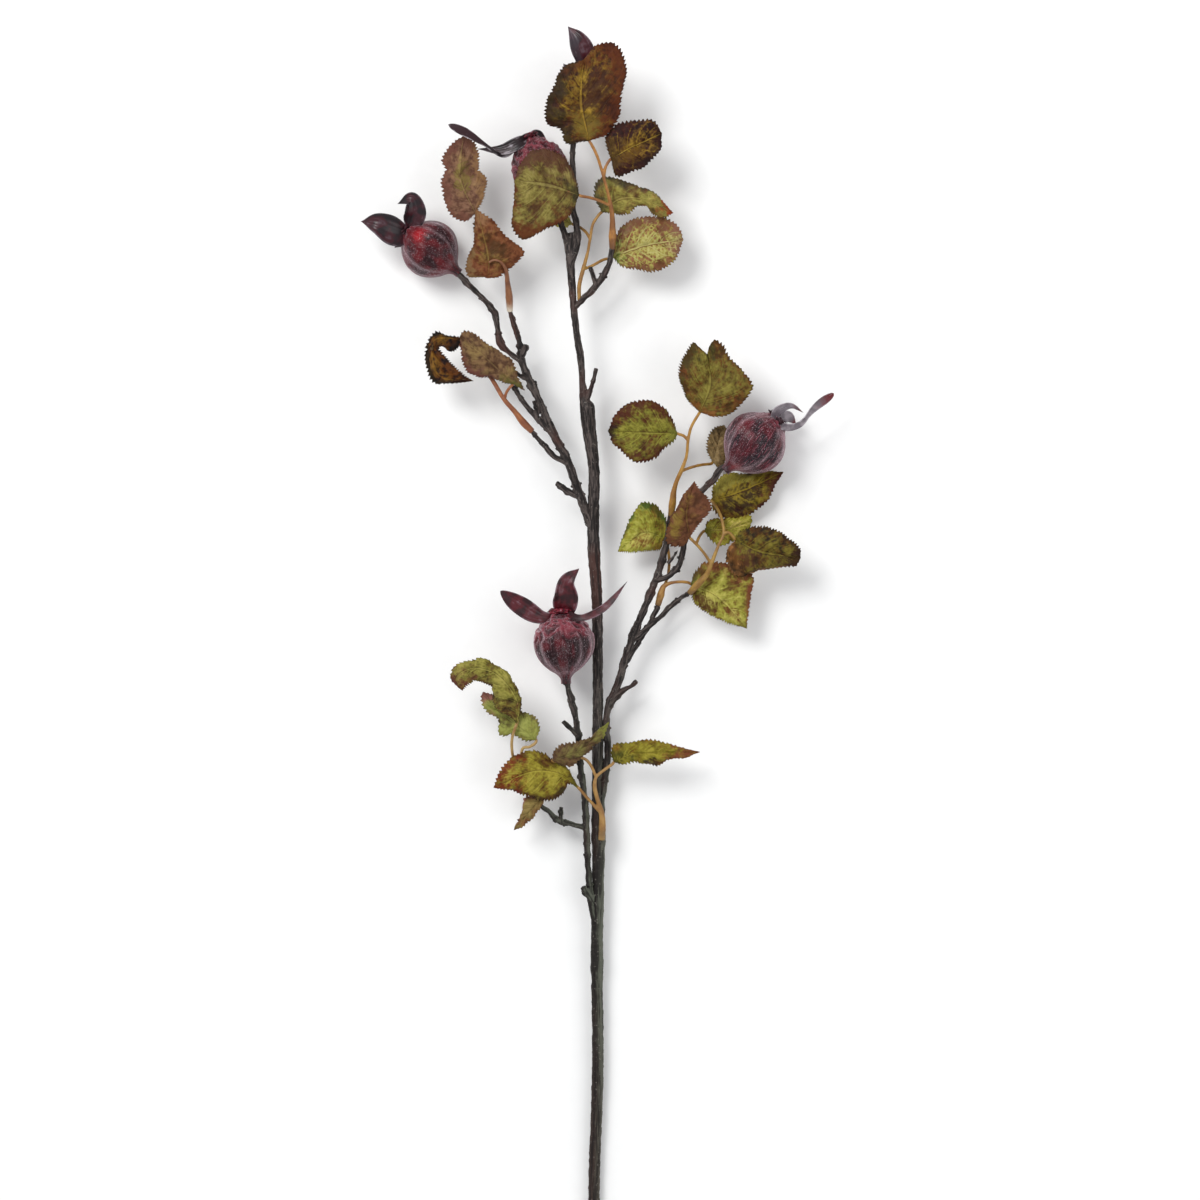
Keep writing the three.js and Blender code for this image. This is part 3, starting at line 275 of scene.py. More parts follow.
def move_points(mesh, points):
    mesh.vertices.foreach_set("co", (np.asarray(points) * MM).astype(np.float32).ravel())
    mesh.update()


def store(mesh, name, kind, values):
    """Keeps a number or a vector for each point, for the material to read."""
    attribute = mesh.attributes.new(name, kind, "POINT")
    key = "vector" if kind == "FLOAT_VECTOR" else "value"
    attribute.data.foreach_set(key, np.asarray(values, np.float32).ravel())


def noise_at(points, size, seed):
    """Smooth noise from -1 to 1 at each point, with lumps about size mm across."""
    shift = Vector((17.3 * seed, 5.1 * seed, 9.7 * seed))
    return np.array([noise.noise(Vector(point) / size + shift) for point in points])


# %% Body helpers
def ring_faces(rings, sides):
    """The faces between rings of points, where each ring's points come after the last one's."""
    faces = []
    for ring in range(rings - 1):
        for k in range(sides):
            here, beside = ring * sides + k, ring * sides + (k + 1) % sides
            faces.append((here, beside, beside + sides, here + sides))
    return faces


def turned_faces(rings, sides):
    """The faces of a turned body. Its last two points close the foot and the top."""
    foot, top, last = rings * sides, rings * sides + 1, (rings - 1) * sides
    faces = ring_faces(rings, sides)
    for k in range(sides):
        beside = (k + 1) % sides
        faces += [(foot, beside, k), (top, last + k, last + beside)]
    return faces


def joined(bodies):
    """Points and faces of several bodies as one."""
    faces, start = [], 0
    for points, body_faces in bodies:
        faces += [tuple(start + corner for corner in face) for face in body_faces]
        start += len(points)
    return np.vstack([points for points, _ in bodies]), faces


print("a turned body of 3 rings of 8 points has", len(turned_faces(3, 8)), "faces")

# %% [markdown]
# ## Fused rods
# The stem is wire wrapped with stem tape, and its forks are pressed together under the tape, so no
# seam shows where two branches meet. Each branch is swept as a rod with its own radii. A voxel
# remesh then melts the rods of one piece into a single skin with soft joins, as tape or a mould
# would. Afterwards each point looks up the nearest spot on a branch's centre line, so the finish
# knows how far along and how far round the branch it is.

# %% Rod sweep
def rod_sweep(part, sides, step):
    """Points and faces of one closed rod, and its centre line for the finish."""
    at, length, place = smooth_curve(part["route"])
    rings = max(len(part["route"]), round(length / step))
    t = np.linspace(0, 1, rings + 1)
    line = at(t)
    radius = np.interp(place(t), range(len(part["radii"])), part["radii"])
    forward = unit(np.gradient(line, axis=0))
    side = np.zeros_like(line)
    reference = np.array([0, 0, 1.0])
    for ring in range(rings + 1):
        reference = unit(reference - forward[ring] * reference.dot(forward[ring]))
        side[ring] = reference
    other = np.cross(forward, side)
    turn = np.linspace(0, 2 * np.pi, sides, endpoint=False)
    offset = np.cos(turn)[None, :, None] * side[:, None] + np.sin(turn)[None, :, None] * other[:, None]
    points = (line[:, None] + radius[:, None, None] * offset).reshape(-1, 3)
    faces = ring_faces(rings + 1, sides)
    faces += [tuple(reversed(range(sides))), tuple(range(rings * sides, (rings + 1) * sides))]
    return points, faces, (line, side, other, radius, t * length)


# %% Fused rods
def fused_rods(parts, voxel, sides=14, step=1.5, smooth=4):
    """One skin over all the rods, and the rods' centre lines. The voxel and the step are in mm."""
    sweeps = [rod_sweep(part, sides, step) for part in parts]
    draft = bpy.data.objects.new("draft", mesh_from(*joined([sweep[:2] for sweep in sweeps])))
    bpy.context.scene.collection.objects.link(draft)
    remesh = draft.modifiers.new("one_skin", "REMESH")
    remesh.mode = "VOXEL"
    remesh.voxel_size = voxel * MM
    soften = draft.modifiers.new("soften", "SMOOTH")
    soften.iterations = smooth
    soften.factor = 0.5
    bpy.context.view_layer.update()
    mesh = bpy.data.meshes.new_from_object(draft.evaluated_get(bpy.context.evaluated_depsgraph_get()))
    bpy.data.objects.remove(draft)
    return mesh, [sweep[2] for sweep in sweeps]


def place_on_rods(points, lines):
    """For each point: (round x, round y, along) in mm on the nearest rod, that rod's number, and
    its radius there."""
    centres, sides, others, radius, along = map(np.concatenate, zip(*lines))
    owner = np.concatenate([np.full(len(line[0]), k) for k, line in enumerate(lines)])
    tree = kdtree.KDTree(len(centres))
    for k, centre in enumerate(centres):
        tree.insert(centre, k)
    tree.balance()
    near = np.array([tree.find(point)[1] for point in points])
    out = points - centres[near]
    x = (out * sides[near]).sum(axis=1)
    y = (out * others[near]).sum(axis=1)
    return np.stack([x, y, along[near]], axis=1), owner[near], radius[near]


# %% [markdown]
# ## Routes
# The sprig's plan: where the stem, the twigs, the leaf stalks and the hips are. A rod runs through
# stops from its root end on, each a place and a radius. A stalk starts in its socket, and a hip is
# given by its neck, its crown and its thickest radius. A leaf hangs on a rib, from the stalk to the
# tip, and on two margins on its left and right, seen with the rib pointing away. Its puff arches the
# cloth between rib and margin.

# %% Stem and twig routes
STEM_RADIUS = 3.7
THIN = 1.0  # radius of a leaf stalk


def rod(*stops):
    """A rod through stops of x, y, z and radius. A stop that gives no radius is thin."""
    return {"route": [stop[:3] for stop in stops], "radii": [(*stop, THIN)[3] for stop in stops]}


WOOD = {
    "stem_main": [
        rod(
            (-0.5, -406.5, 3.5, STEM_RADIUS), (-2, -356, 4.5, 3.8), (0.5, -271.5, 6.5, 3.9),
            (0, -210.5, 8, 3.8), (0, -204, 8.5, 4.5), (0, -187, 9, 4), (0.5, -161, 10, 4.1),
            (1, -128.5, 11, 4.3), (1, -123, 11, 5), (0.5, -63.5, 14, 3.7), (0.5, -18, 16, 3.4),
            (0, 34, 19, 3.6), (-2, 64, 20, 4.2), (-2.5, 89.5, 21, 4), (-2, 118.5, 22, 3.7),
            (-5.5, 148, 23, 4.8), (-6.5, 159, 23.5, 5.1), (-8.5, 165, 24, 3), (-9.5, 177, 24, 2.2),
            (-10.5, 191, 24.5, 2.6), (-13.5, 209.5, 25, 2.3), (-16, 235.5, 26, 2.5),
            (-17.5, 257.5, 27, 3),
        ),
        rod((-17.5, 254, 27, 2.6), (-20, 268, 27, 2.1), (-23, 278, 26.5, 2.1), (-26.5, 290, 24.5, 2)),
        rod((-17, 254, 27, 2.2), (-17, 265, 28, 1.6), (-17, 272.5, 29, 1.5)),
        rod(
            (-17, 252.5, 27, 2.6), (-12.5, 266, 28, 2.3), (-13.5, 278.5, 28.5, 2.3), (-16, 289.5, 28, 2),
            (-15.5, 307, 27, 2.2), (-16, 321.5, 26, 1.9), (-15, 334.5, 24, 2), (-13.5, 345.5, 22, 1.9),
        ),
        rod((-7, 163, 24, 2), (-3, 174, 26, 1.5), (-0.5, 184.5, 27, 1.5)),
    ],
    "twig_top": [
        rod(
            (-16, 222.5, 25.5, 2.2), (-8.5, 230, 26.5, 2.1), (0.5, 239, 28, 2.4), (8, 252.5, 28.5, 2),
            (9.5, 260.5, 29, 1.7),
        ),
        rod((0, 237.5, 28, 1.8), (-2.5, 244, 29, 1.5), (-4.5, 250, 30, 1.6)),
    ],
    "twig_left": [
        rod(
            (-3, 81, 21, 3.2), (-8.5, 95, 22, 3.2), (-13, 107, 23, 2.9), (-20, 126.5, 23, 2.8),
            (-27.5, 140.5, 23, 2.9), (-39, 166.5, 23, 2.4), (-49, 190, 22, 2.6), (-50, 200, 22, 1.9),
            (-54, 213, 22.5, 1.9), (-56, 219.5, 23, 1.6),
        ),
        rod(
            (-50, 189.5, 22, 1.8), (-58, 195.5, 22, 1.8), (-62.5, 200.5, 21.5, 2.8),
            (-64.5, 211, 21, 1.8), (-66.5, 220.5, 20.5, 2.3), (-74, 230, 20, 1.7),
            (-82.5, 238, 19.5, 1.7), (-88.5, 244.5, 19, 2),
        ),
        rod((-49, 192.5, 22, 2.2), (-47, 196.5, 24, 1.9), (-46, 200, 25, 1.7)),
        rod((-45, 178, 22.5, 2), (-49.5, 179.5, 22, 1.5), (-54, 182.5, 21, 1.3)),
        rod((-28, 140.5, 23, 2), (-38.5, 152, 23, 2), (-48, 163, 22, 1.8), (-54, 172.5, 21, 1.5)),
        rod((-38.5, 151, 23, 1.6), (-39.5, 158.5, 25, 1.4), (-41, 163.5, 26, 1.3)),
        rod((-19, 123, 23, 1.8), (-27.5, 127, 23, 1.9), (-34, 134, 23.5, 2), (-41, 142, 24, 1.5)),
        rod((-12.5, 101.5, 23, 2.1), (-20, 105, 24, 1.9), (-26.5, 110, 25, 1.8)),
    ],
    "twig_right": [
        rod(
            (1.5, -105.5, 13, 2.4), (5, -84, 15, 2.4), (7, -63.5, 16, 2.3), (6.5, -38.5, 17.5, 2.4),
            (14.5, -18, 18.5, 2.6), (20, 1.5, 19.5, 2.5), (33, 34, 20.5, 2.4), (39.5, 51, 21, 2.5),
            (45, 70, 21.5, 2.2), (47.5, 87.5, 22.5, 1.7),
        ),
        rod(
            (37.5, 46.5, 21, 2), (45.5, 49, 21.5, 1.9), (52.5, 55.5, 22, 2), (56, 66.5, 22, 2),
            (58, 85, 22, 1.8), (62, 97, 21.5, 1.8), (70, 107, 20.5, 1.9), (75.5, 112, 20, 2.4),
            (80.5, 119.5, 19.5, 2.1),
        ),
        rod((8, -35, 17.5, 2), (16, -25.5, 20, 1.9), (22, -22, 21, 1.5), (26, -18.5, 22, 1.8)),
        rod(
            (23, 8, 19.5, 2.1), (32, 15.5, 20, 1.9), (41.5, 23.5, 21, 1.7), (46, 28.5, 21.5, 2.1),
            (54, 35, 22.5, 1.6), (59, 38, 23.5, 1.5),
        ),
        rod(
            (19, -6, 18.5, 2), (26, 5, 17, 1.6), (33, 16, 17, 1.7), (37.5, 25.5, 17.5, 1.8),
            (39.5, 29.5, 18, 1.6),
        ),
        rod((46, 57.5, 22, 1.2), (50, 62.5, 23, 0.9), (52.5, 66.5, 24, 0.8)),
    ],
    "twig_lower": [
        rod(
            (0, -180.5, 10, 2.2), (-4, -162, 12, 2.3), (-6, -135, 13.5, 2.1), (-7, -114, 15, 2.4),
            (-8, -96, 17, 2.1), (-10.5, -75, 19.5, 2.1), (-12.5, -51.5, 22.5, 2.3), (-15.5, -35, 25.5, 2),
            (-17.5, -27.5, 27, 2), (-19, -21.5, 28.5, 2.1),
        ),
        rod((-13, -53.5, 22.5, 1.8), (-18, -48.5, 24, 1.4), (-22, -44.5, 25, 1.6)),
        rod((-3, -163, 12.5, 1.9), (-6.5, -157, 15, 1.7), (-9, -152.5, 17, 2)),
        rod(
            (-8, -114, 15, 2), (-17.5, -111.5, 16, 1.7), (-25.5, -109.5, 17, 2.2), (-31, -103.5, 18, 1.7),
            (-36, -100, 19.5, 1.6),
        ),
        rod((-23.5, -110, 17, 1.5), (-23.5, -105.5, 19, 1.3), (-23, -100.5, 21, 1.6)),
    ],
}
stem_length = smooth_curve(WOOD["stem_main"][0]["route"])[1]
print("the stem is", round(stem_length), "mm long, from its cut end to its first fork")

# %% Stalk routes
SOCKET_RADIUS = 2.3
MOUTH, SWELL, WAIST = SOCKET_RADIUS - 0.3, SOCKET_RADIUS + 0.2, 1.7  # along a socket, from its mouth
STALKS = {
    "stalk_a": [
        rod(
            (10, 261.5, 29, MOUTH), (10, 269.5, 31, SWELL), (10, 280, 34, WAIST), (9, 289, 37, 1.4),
            (7, 297.5, 39.5), (4.5, 306.5, 41), (0, 321, 43), (-4, 329, 43.5),
        ),
        rod((4.5, 306.5, 41), (5.5, 313.5, 42), (8, 318, 41.5)),
        rod((9, 289, 37), (2, 292, 39), (-4.5, 294, 41.5), (-10.5, 295, 43)),
    ],
    "stalk_b": [
        rod(
            (-11.5, 228.5, 26, 1.3), (-11.5, 238, 27, 1.4), (-9, 248.5, 27.5, 1.4), (-6, 259.5, 29),
            (-4.5, 268, 30), (-2.5, 278, 30.5), (1.5, 284, 30.5),
        ),
        rod((-9, 248.5, 27.5), (-3, 251, 26), (4, 255, 23.5), (8, 256, 22.5)),
        rod((-4.5, 268, 30), (-7, 272.5, 27), (-11, 276, 23), (-15, 278, 20)),
    ],
    "stalk_c": [
        rod(
            (-56.5, 221.5, 23, MOUTH), (-57, 230.5, 25.5, SWELL), (-58, 240, 29.5, WAIST),
            (-59, 248, 34, 1.1), (-62.5, 253, 36, 0.85), (-67, 254, 35.5, 0.8), (-70, 252.5, 35, 0.8),
        ),
        rod((-58, 240, 29), (-60.5, 250, 27.5), (-68, 269.5, 27), (-77.5, 283, 29.5)),
    ],
    "stalk_d": [
        rod(
            (-42, 143.5, 24, MOUTH), (-47.5, 149, 25, SWELL), (-53.5, 156.5, 26.5, WAIST),
            (-60, 164, 27, 1.5), (-69, 178.5, 26, 1.4), (-79.5, 191, 24.5), (-89.5, 201, 25),
        ),
        rod((-60, 164, 27), (-59, 168, 28.5), (-56, 172.5, 30)),
    ],
    "stalk_e": [
        rod(
            (48, 88.5, 22.5, MOUTH), (49, 97, 25, SWELL), (50, 105.5, 27, WAIST), (52, 112, 28.5, 1.4),
            (54.5, 117.5, 30, 1.4), (58, 127.5, 31.5), (59, 137.5, 33), (61, 146, 33.5), (65.5, 154, 34),
        ),
        rod((54.5, 117.5, 30), (60.5, 120, 26), (68, 122, 18), (74.5, 123, 9.5)),
        rod((59, 137.5, 33), (56, 140.5, 33), (53, 141.5, 33)),
    ],
    "stalk_f": [
        rod(
            (39.5, 30.5, 18, MOUTH), (41.5, 37.5, 18.5, SWELL), (43.5, 43, 19, WAIST), (49.5, 45.5, 20),
            (59, 45.5, 20.5),
        ),
        rod((43.5, 43, 19), (46, 49, 15.5), (47, 60, 13.5), (46, 68.5, 13), (44.5, 72.5, 13.5)),
    ],
    "stalk_g": [
        rod(
            (60, 38.5, 24, MOUTH), (65, 44, 27, SWELL), (71, 50.5, 30, WAIST), (74, 57.5, 32, 1.4),
            (78.5, 69, 32), (82, 77, 31), (81, 86, 28), (78, 93.5, 22), (75, 98, 16),
        ),
        rod((74, 57.5, 32), (70, 63.5, 33), (65.5, 69, 33), (61, 73.5, 33)),
        rod((64.5, 71, 33), (66.5, 75.5, 27), (69, 78.5, 21)),
        rod((82, 77, 31), (85, 78, 31.5), (89, 74, 31)),
    ],
    "stalk_h": [
        rod(
            (3, -122, 17.5, SOCKET_RADIUS), (3.5, -113, 19, SOCKET_RADIUS), (3, -104.5, 20, 1.9),
            (0.5, -96, 20.5, 1.4), (-1.5, -87, 22, 1.4), (-0.5, -81, 22.5), (5, -76, 23), (10.5, -72, 24),
        ),
        rod((3, -104.5, 20, 1.4), (-4.5, -96.5, 21.5), (-11.5, -88.5, 22.5)),
        rod(
            (-0.5, -81, 22.5), (-4.5, -72.5, 23.5), (-9, -68.5, 26), (-17.5, -68, 27.5),
            (-25.5, -70.5, 28.5),
        ),
    ],
    "stalk_i": [
        rod(
            (-36.5, -99, 20, MOUTH), (-41.5, -92, 21, SWELL), (-47, -85, 22, WAIST), (-52.5, -75, 23.5),
            (-55, -64.5, 27), (-55, -55.5, 30.5), (-52.5, -47.5, 33),
        ),
        rod((-47, -85, 22), (-49, -73, 25), (-48, -62, 28), (-43.5, -61, 29.5), (-39.5, -58, 30)),
        rod((-41.5, -92, 21), (-37, -89.5, 23), (-34, -90, 24)),
    ],
}
print(len(STALKS), "stalks are swept from", sum(map(len, STALKS.values())), "rods")

# %% Hip places
HIP_PROFILE = [
    (0, 0.17), (0.07, 0.18), (0.13, 0.28), (0.2, 0.52), (0.3, 0.76), (0.42, 0.93), (0.56, 1), (0.7, 0.96),
    (0.83, 0.79), (0.92, 0.58), (1, 0.38),
]
HIPS = {
    1: {"neck": (-13, 347.5, 22), "crown": (-10.5, 377.5, 22), "radius": 15},
    2: {"neck": (-28, 292, 24), "crown": (-45, 333, 24), "radius": 17.5},
    3: {"neck": (-89.5, 246.5, 18), "crown": (-123.5, 274, 17.5), "radius": 18.5},
    4: {"neck": (-20, -20, 29), "crown": (-23, 25.5, 32), "radius": 19.5},
    5: {"neck": (83, 118, 19.5), "crown": (117, 150, 20), "radius": 20.3},
}
print("the hips are", [2 * hip["radius"] for hip in HIPS.values()], "mm thick")

# %% Leaf places
LEAVES = {
    "leaf_01": {
        "rib": [(-5, 330.5, 44), (-10.5, 355, 47), (-8.5, 382.5, 48)], "puff": 2,
        "left": [
            (-20, 328.5, 44), (-24, 337, 45), (-32.5, 340.5, 46), (-34, 352.5, 47), (-28.5, 365.5, 48),
            (-22, 378.5, 48),
        ],
        "right": [
            (6, 334, 43), (14.5, 345, 44), (16, 359, 46), (19.5, 377.5, 48), (13, 392.5, 50),
            (0.5, 392.5, 51),
        ],
    },
    "leaf_02": {
        "rib": [(9, 319, 42), (23, 326.5, 43), (42, 335.5, 43)], "puff": 2,
        "left": [(6, 325.5, 41), (5, 334, 39.5), (10, 341, 40), (23, 344, 43), (36.5, 344, 43)],
        "right": [(12.5, 307, 41), (23, 310.5, 42), (33, 315, 43), (41.5, 325.5, 42)],
    },
    "leaf_03": {
        "rib": [(3, 285.5, 31), (16, 294, 33), (34.5, 292, 35), (49.5, 285, 30)], "puff": 1.5,
        "left": [(-1.5, 293, 31), (-2, 303, 31), (3, 308.5, 31), (18, 306, 33), (36, 298, 34)],
        "right": [
            (11, 283.5, 30), (19, 283.5, 30), (28, 289, 32), (33, 288.5, 32.5), (36, 283, 30.5),
            (43, 281, 29),
        ],
    },
    "leaf_04": {
        "rib": [(10, 257, 23), (31, 264, 26), (56, 268, 26)], "puff": 2,
        "left": [(10.5, 268, 24), (18, 279, 25), (31, 283.5, 26), (46, 282, 27), (54, 275.5, 27)],
        "right": [(14.5, 251, 24), (28, 247.5, 25), (41, 247.5, 26), (51.5, 255, 26)],
    },
    "leaf_05": {
        "rib": [(-11.5, 295.5, 43.5), (-30.5, 301.5, 47), (-53.5, 304.5, 46)], "puff": 2,
        "left": [
            (-16, 284.5, 42), (-22, 278, 42), (-34, 272.5, 42), (-48, 267, 39), (-55, 273.5, 41),
            (-54, 291, 44),
        ],
        "right": [(-13, 306, 43), (-19, 319, 43), (-28.5, 324.5, 44), (-41, 325.5, 44), (-50, 315.5, 45)],
    },
    "leaf_06": {
        "rib": [(-78.5, 284.5, 31), (-88.5, 307, 37), (-86.5, 334.5, 35)], "puff": -1.5,
        "left": [
            (-85, 279, 30), (-95, 283, 31), (-100, 296.5, 33), (-101.5, 306, 33), (-99, 312.5, 33),
            (-101.5, 319, 33), (-93.5, 330.5, 35),
        ],
        "right": [
            (-74, 291, 33), (-71.5, 300.5, 35), (-71, 307, 35), (-75.5, 312.5, 33), (-76, 323.5, 34),
            (-80, 332, 35),
        ],
    },
    "leaf_07": {
        "rib": [(-71, 242.5, 31.5), (-70, 252.5, 33), (-73, 268, 35), (-78, 287, 38)], "puff": 1.5,
        "left": [
            (-75, 243, 31), (-79.5, 243, 30.5), (-84.5, 244, 29), (-84.5, 254, 29), (-81, 268, 31),
            (-80, 280, 34),
        ],
        "right": [
            (-67, 242.5, 31), (-62.5, 243.5, 31), (-56.5, 248, 30), (-47, 259.5, 31), (-58, 269.5, 34),
            (-68, 280.5, 36),
        ],
    },
    "leaf_08": {
        "rib": [
            (-87, 202, 28), (-97.5, 204, 31), (-105.5, 202, 35), (-106.5, 190, 36), (-102, 179, 35),
            (-80, 176, 31),
        ],
        "puff": -1,
        "left": [
            (-89.5, 198, 27.5), (-93.5, 195, 25.5), (-99.5, 198.5, 28.5), (-101.5, 197.5, 32),
            (-95.5, 189.5, 33), (-88, 182.5, 32),
        ],
        "right": [
            (-89.5, 205, 28.5), (-97.5, 206, 31), (-104, 209, 33), (-110.5, 201, 33), (-111, 187, 32),
            (-107, 174.5, 32), (-94, 174, 31),
        ],
    },
    "leaf_09": {
        "rib": [(-54.5, 174, 30.5), (-71, 190, 34), (-89, 204.5, 32)], "puff": 1.5,
        "left": [
            (-60, 174.5, 30), (-64.5, 176.5, 31), (-76, 178.5, 32), (-85, 182.5, 31), (-88.5, 193.5, 32),
        ],
        "right": [
            (-46.5, 170, 27.5), (-51.5, 180.5, 29), (-55, 189, 29), (-63, 195.5, 29), (-72, 201, 30),
            (-79.5, 207, 30), (-87, 209, 31),
        ],
    },
    "leaf_10": {
        "rib": [(66.5, 155.5, 34), (73, 174, 37), (71.5, 192.5, 36)], "puff": 1.5,
        "left": [
            (60, 161, 34), (54.5, 170.5, 35), (52.5, 183.5, 36), (56.5, 194, 38), (62.5, 201, 39),
            (67, 196.5, 38),
        ],
        "right": [
            (76.5, 152.5, 34), (87, 154.5, 35), (96, 163, 36), (101.5, 173, 36), (94, 183.5, 36),
            (86, 192, 36), (82, 200, 38), (75.5, 202.5, 39),
        ],
    },
    "leaf_11": {
        "rib": [(52, 142, 33), (31, 142, 34.5), (7, 143.5, 33)], "puff": 2,
        "left": [
            (50.5, 137, 33), (43.5, 131.5, 33), (37.5, 125, 34), (26.5, 122.5, 34), (16, 129, 34),
            (10, 136, 33),
        ],
        "right": [(50, 151, 33), (41, 161, 34), (29, 164, 35), (17, 160, 35), (10, 152, 34)],
    },
    "leaf_12": {
        "rib": [(75.5, 124, 8.5), (78, 135, 6), (83, 148.5, 5)], "puff": 1,
        "left": [(72, 128.5, 8), (71, 138, 7), (75.5, 146.5, 6)],
        "right": [(81, 117.5, 7), (84.5, 125, 4), (85, 135, 3), (86.5, 143.5, 4)],
    },
    "leaf_13": {
        "rib": [(74.5, 99, 14), (93, 104.5, 11), (121.5, 117.5, 12)], "puff": 1.5,
        "left": [(75.5, 109, 11), (84.5, 116.5, 6), (96, 118, 4.5), (109, 118.5, 5)],
        "right": [
            (75, 92.5, 14), (81, 87, 13), (90.5, 86, 12), (101, 90, 11), (112, 99, 11),
            (116.5, 107.5, 11),
        ],
    },
    "leaf_14": {
        "rib": [(60, 74.5, 33.5), (58, 91.5, 37), (63, 111, 36)], "puff": 1.5,
        "left": [(54.5, 68.5, 33), (45.5, 70, 33), (44, 77.5, 34), (48, 87, 35), (55, 100.5, 36)],
        "right": [(65, 81, 34), (69.5, 87.5, 35), (75, 94, 35), (73, 100, 35), (67.5, 105, 36)],
    },
    "leaf_15": {
        "rib": [(44, 74.5, 14.5), (31, 77.5, 18), (13.5, 65.5, 20)], "puff": 1.5,
        "left": [(41.5, 66.5, 15), (34.5, 65.5, 17), (24.5, 64.5, 19)],
        "right": [
            (47.5, 81.5, 14.5), (44, 90, 16), (39, 96.5, 18), (29, 98, 19), (24, 91.5, 20),
            (17.5, 78.5, 20),
        ],
    },
    "leaf_16": {
        "rib": [(70, 79, 20), (85, 80.5, 21), (101, 85.5, 20)], "puff": 1,
        "left": [(71.5, 85.5, 19), (80, 88.5, 19), (91.5, 88, 19), (99.5, 90, 19)],
        "right": [(73, 73, 20), (80, 69, 20), (89.5, 72.5, 20), (98, 77.5, 20)],
    },
    "leaf_17": {
        "rib": [(90, 73, 30.5), (106, 65.5, 34), (132, 61.5, 31)], "puff": 2,
        "left": [(91, 77.5, 31), (101, 82, 32), (112.5, 81.5, 34), (123.5, 75.5, 34), (132, 67.5, 33)],
        "right": [
            (84.5, 68, 29), (83, 59.5, 27), (88.5, 49.5, 26), (96, 49, 26), (101.5, 51.5, 27),
            (115.5, 54.5, 28), (129.5, 56, 30),
        ],
    },
    "leaf_18": {
        "rib": [(61, 44.5, 20.5), (78, 36.5, 22), (97.5, 15.5, 20)], "puff": 1.5,
        "left": [
            (63, 52.5, 20), (71, 59.5, 20), (81, 59, 21), (93, 55, 22), (101.5, 51, 22), (101, 40.5, 22),
            (99, 27.5, 21),
        ],
        "right": [(61, 35.5, 20), (68, 27, 20), (76.5, 23, 20), (86, 18.5, 20)],
    },
    "leaf_19": {
        "rib": [
            (-52, -46, 33), (-50.5, -35, 37), (-56.5, -22.5, 41), (-67.5, -12.5, 43), (-80.5, -10, 42),
            (-90.5, -15.5, 38), (-87, -24.5, 34),
        ],
        "puff": 1,
        "left": [
            (-57, -41.5, 32), (-65, -36.5, 33), (-68, -29, 35), (-66.5, -24.5, 37), (-71.5, -21, 38),
            (-78.5, -18, 38), (-83, -21, 36),
        ],
        "right": [
            (-49, -35, 35), (-50.5, -25.5, 38), (-55, -17, 39), (-65, -8, 40), (-76, -3.5, 40),
            (-85, -5.5, 39), (-93.5, -9.5, 37), (-95, -17, 35),
        ],
    },
    "leaf_20": {
        "rib": [(-39.5, -56.5, 30.5), (-50, -48.5, 28), (-63, -38.5, 26), (-74, -25.5, 25)], "puff": 1,
        "left": [
            (-47, -58, 28), (-55, -53.5, 26), (-63, -54.5, 25), (-64.5, -45, 25), (-71.5, -39.5, 24),
            (-76, -29.5, 25),
        ],
        "right": [
            (-36.5, -49, 31), (-39, -41.5, 30), (-47, -38, 28), (-56.5, -35, 26), (-65.5, -27.5, 25),
        ],
    },
    "leaf_21": {
        "rib": [(-12.5, -87.5, 23), (-23, -79.5, 27), (-40.5, -77, 33), (-67, -87.5, 30)], "puff": 2,
        "left": [
            (-18, -85, 24), (-21.5, -91.5, 26), (-30.5, -96.5, 28), (-37, -96, 29), (-45, -93.5, 30),
            (-55, -90.5, 30),
        ],
        "right": [
            (-16, -79.5, 23), (-21, -74, 23.5), (-28.5, -68, 24), (-39, -63.5, 27), (-50, -64.5, 30),
            (-60, -72, 31), (-65, -79.5, 31),
        ],
    },
    "leaf_22": {
        "rib": [(-33.5, -92, 24.5), (-43, -102.5, 24), (-54, -115.5, 20)], "puff": 1,
        "left": [(-35, -98, 23), (-39.5, -105.5, 23), (-43.5, -110, 22), (-49.5, -113.5, 20)],
        "right": [(-41, -92.5, 24), (-47.5, -94, 23), (-48, -101, 22), (-50.5, -107.5, 20)],
    },
    "leaf_23": {
        "rib": [(-29, -70, 31), (-13, -64, 32.5), (8, -45, 31)], "puff": 1,
        "left": [
            (-28.5, -64.5, 30), (-23.5, -59, 30), (-12.5, -57.5, 31), (-3, -54.5, 31), (2.5, -50.5, 31),
        ],
        "right": [(-24, -73, 29.5), (-17.5, -74, 29), (-10, -68.5, 29), (-3, -63.5, 30), (4.5, -55, 30)],
    },
    "leaf_24": {
        "rib": [(11, -71, 25), (24, -65.5, 28), (44, -64.5, 29), (67, -64.5, 26)], "puff": 1.5,
        "left": [
            (8.5, -66, 25), (10.5, -59.5, 26), (21.5, -58, 27), (34.5, -55.5, 28), (46, -59, 28),
            (55, -61.5, 27),
        ],
        "right": [
            (16, -73, 25), (25.5, -70.5, 25), (33, -73, 25), (39.5, -74.5, 25), (45.5, -70, 27),
            (57, -68.5, 26),
        ],
    },
    "leaf_25": {
        "rib": [(-16, 278.5, 20), (-24, 283, 17), (-34.5, 285, 14)], "puff": 1,
        "left": [(-21, 275.5, 18), (-29, 279, 15)],
        "right": [(-19.5, 287, 18), (-27.5, 290, 15)],
    },
}
print(len(LEAVES), "leaves hang on", sum(len(leaf["rib"]) for leaf in LEAVES.values()), "rib places")

# %% [markdown]
# Twigs don't stop at a hip or a socket: they are pushed in for a few millimetres. So a twig's route
# that ends near a neck or a socket's mouth gets one more place inside it.

# %% Pushed-in ends
PUSHED_IN = 4.5  # mm
NEAR = 9  # mm


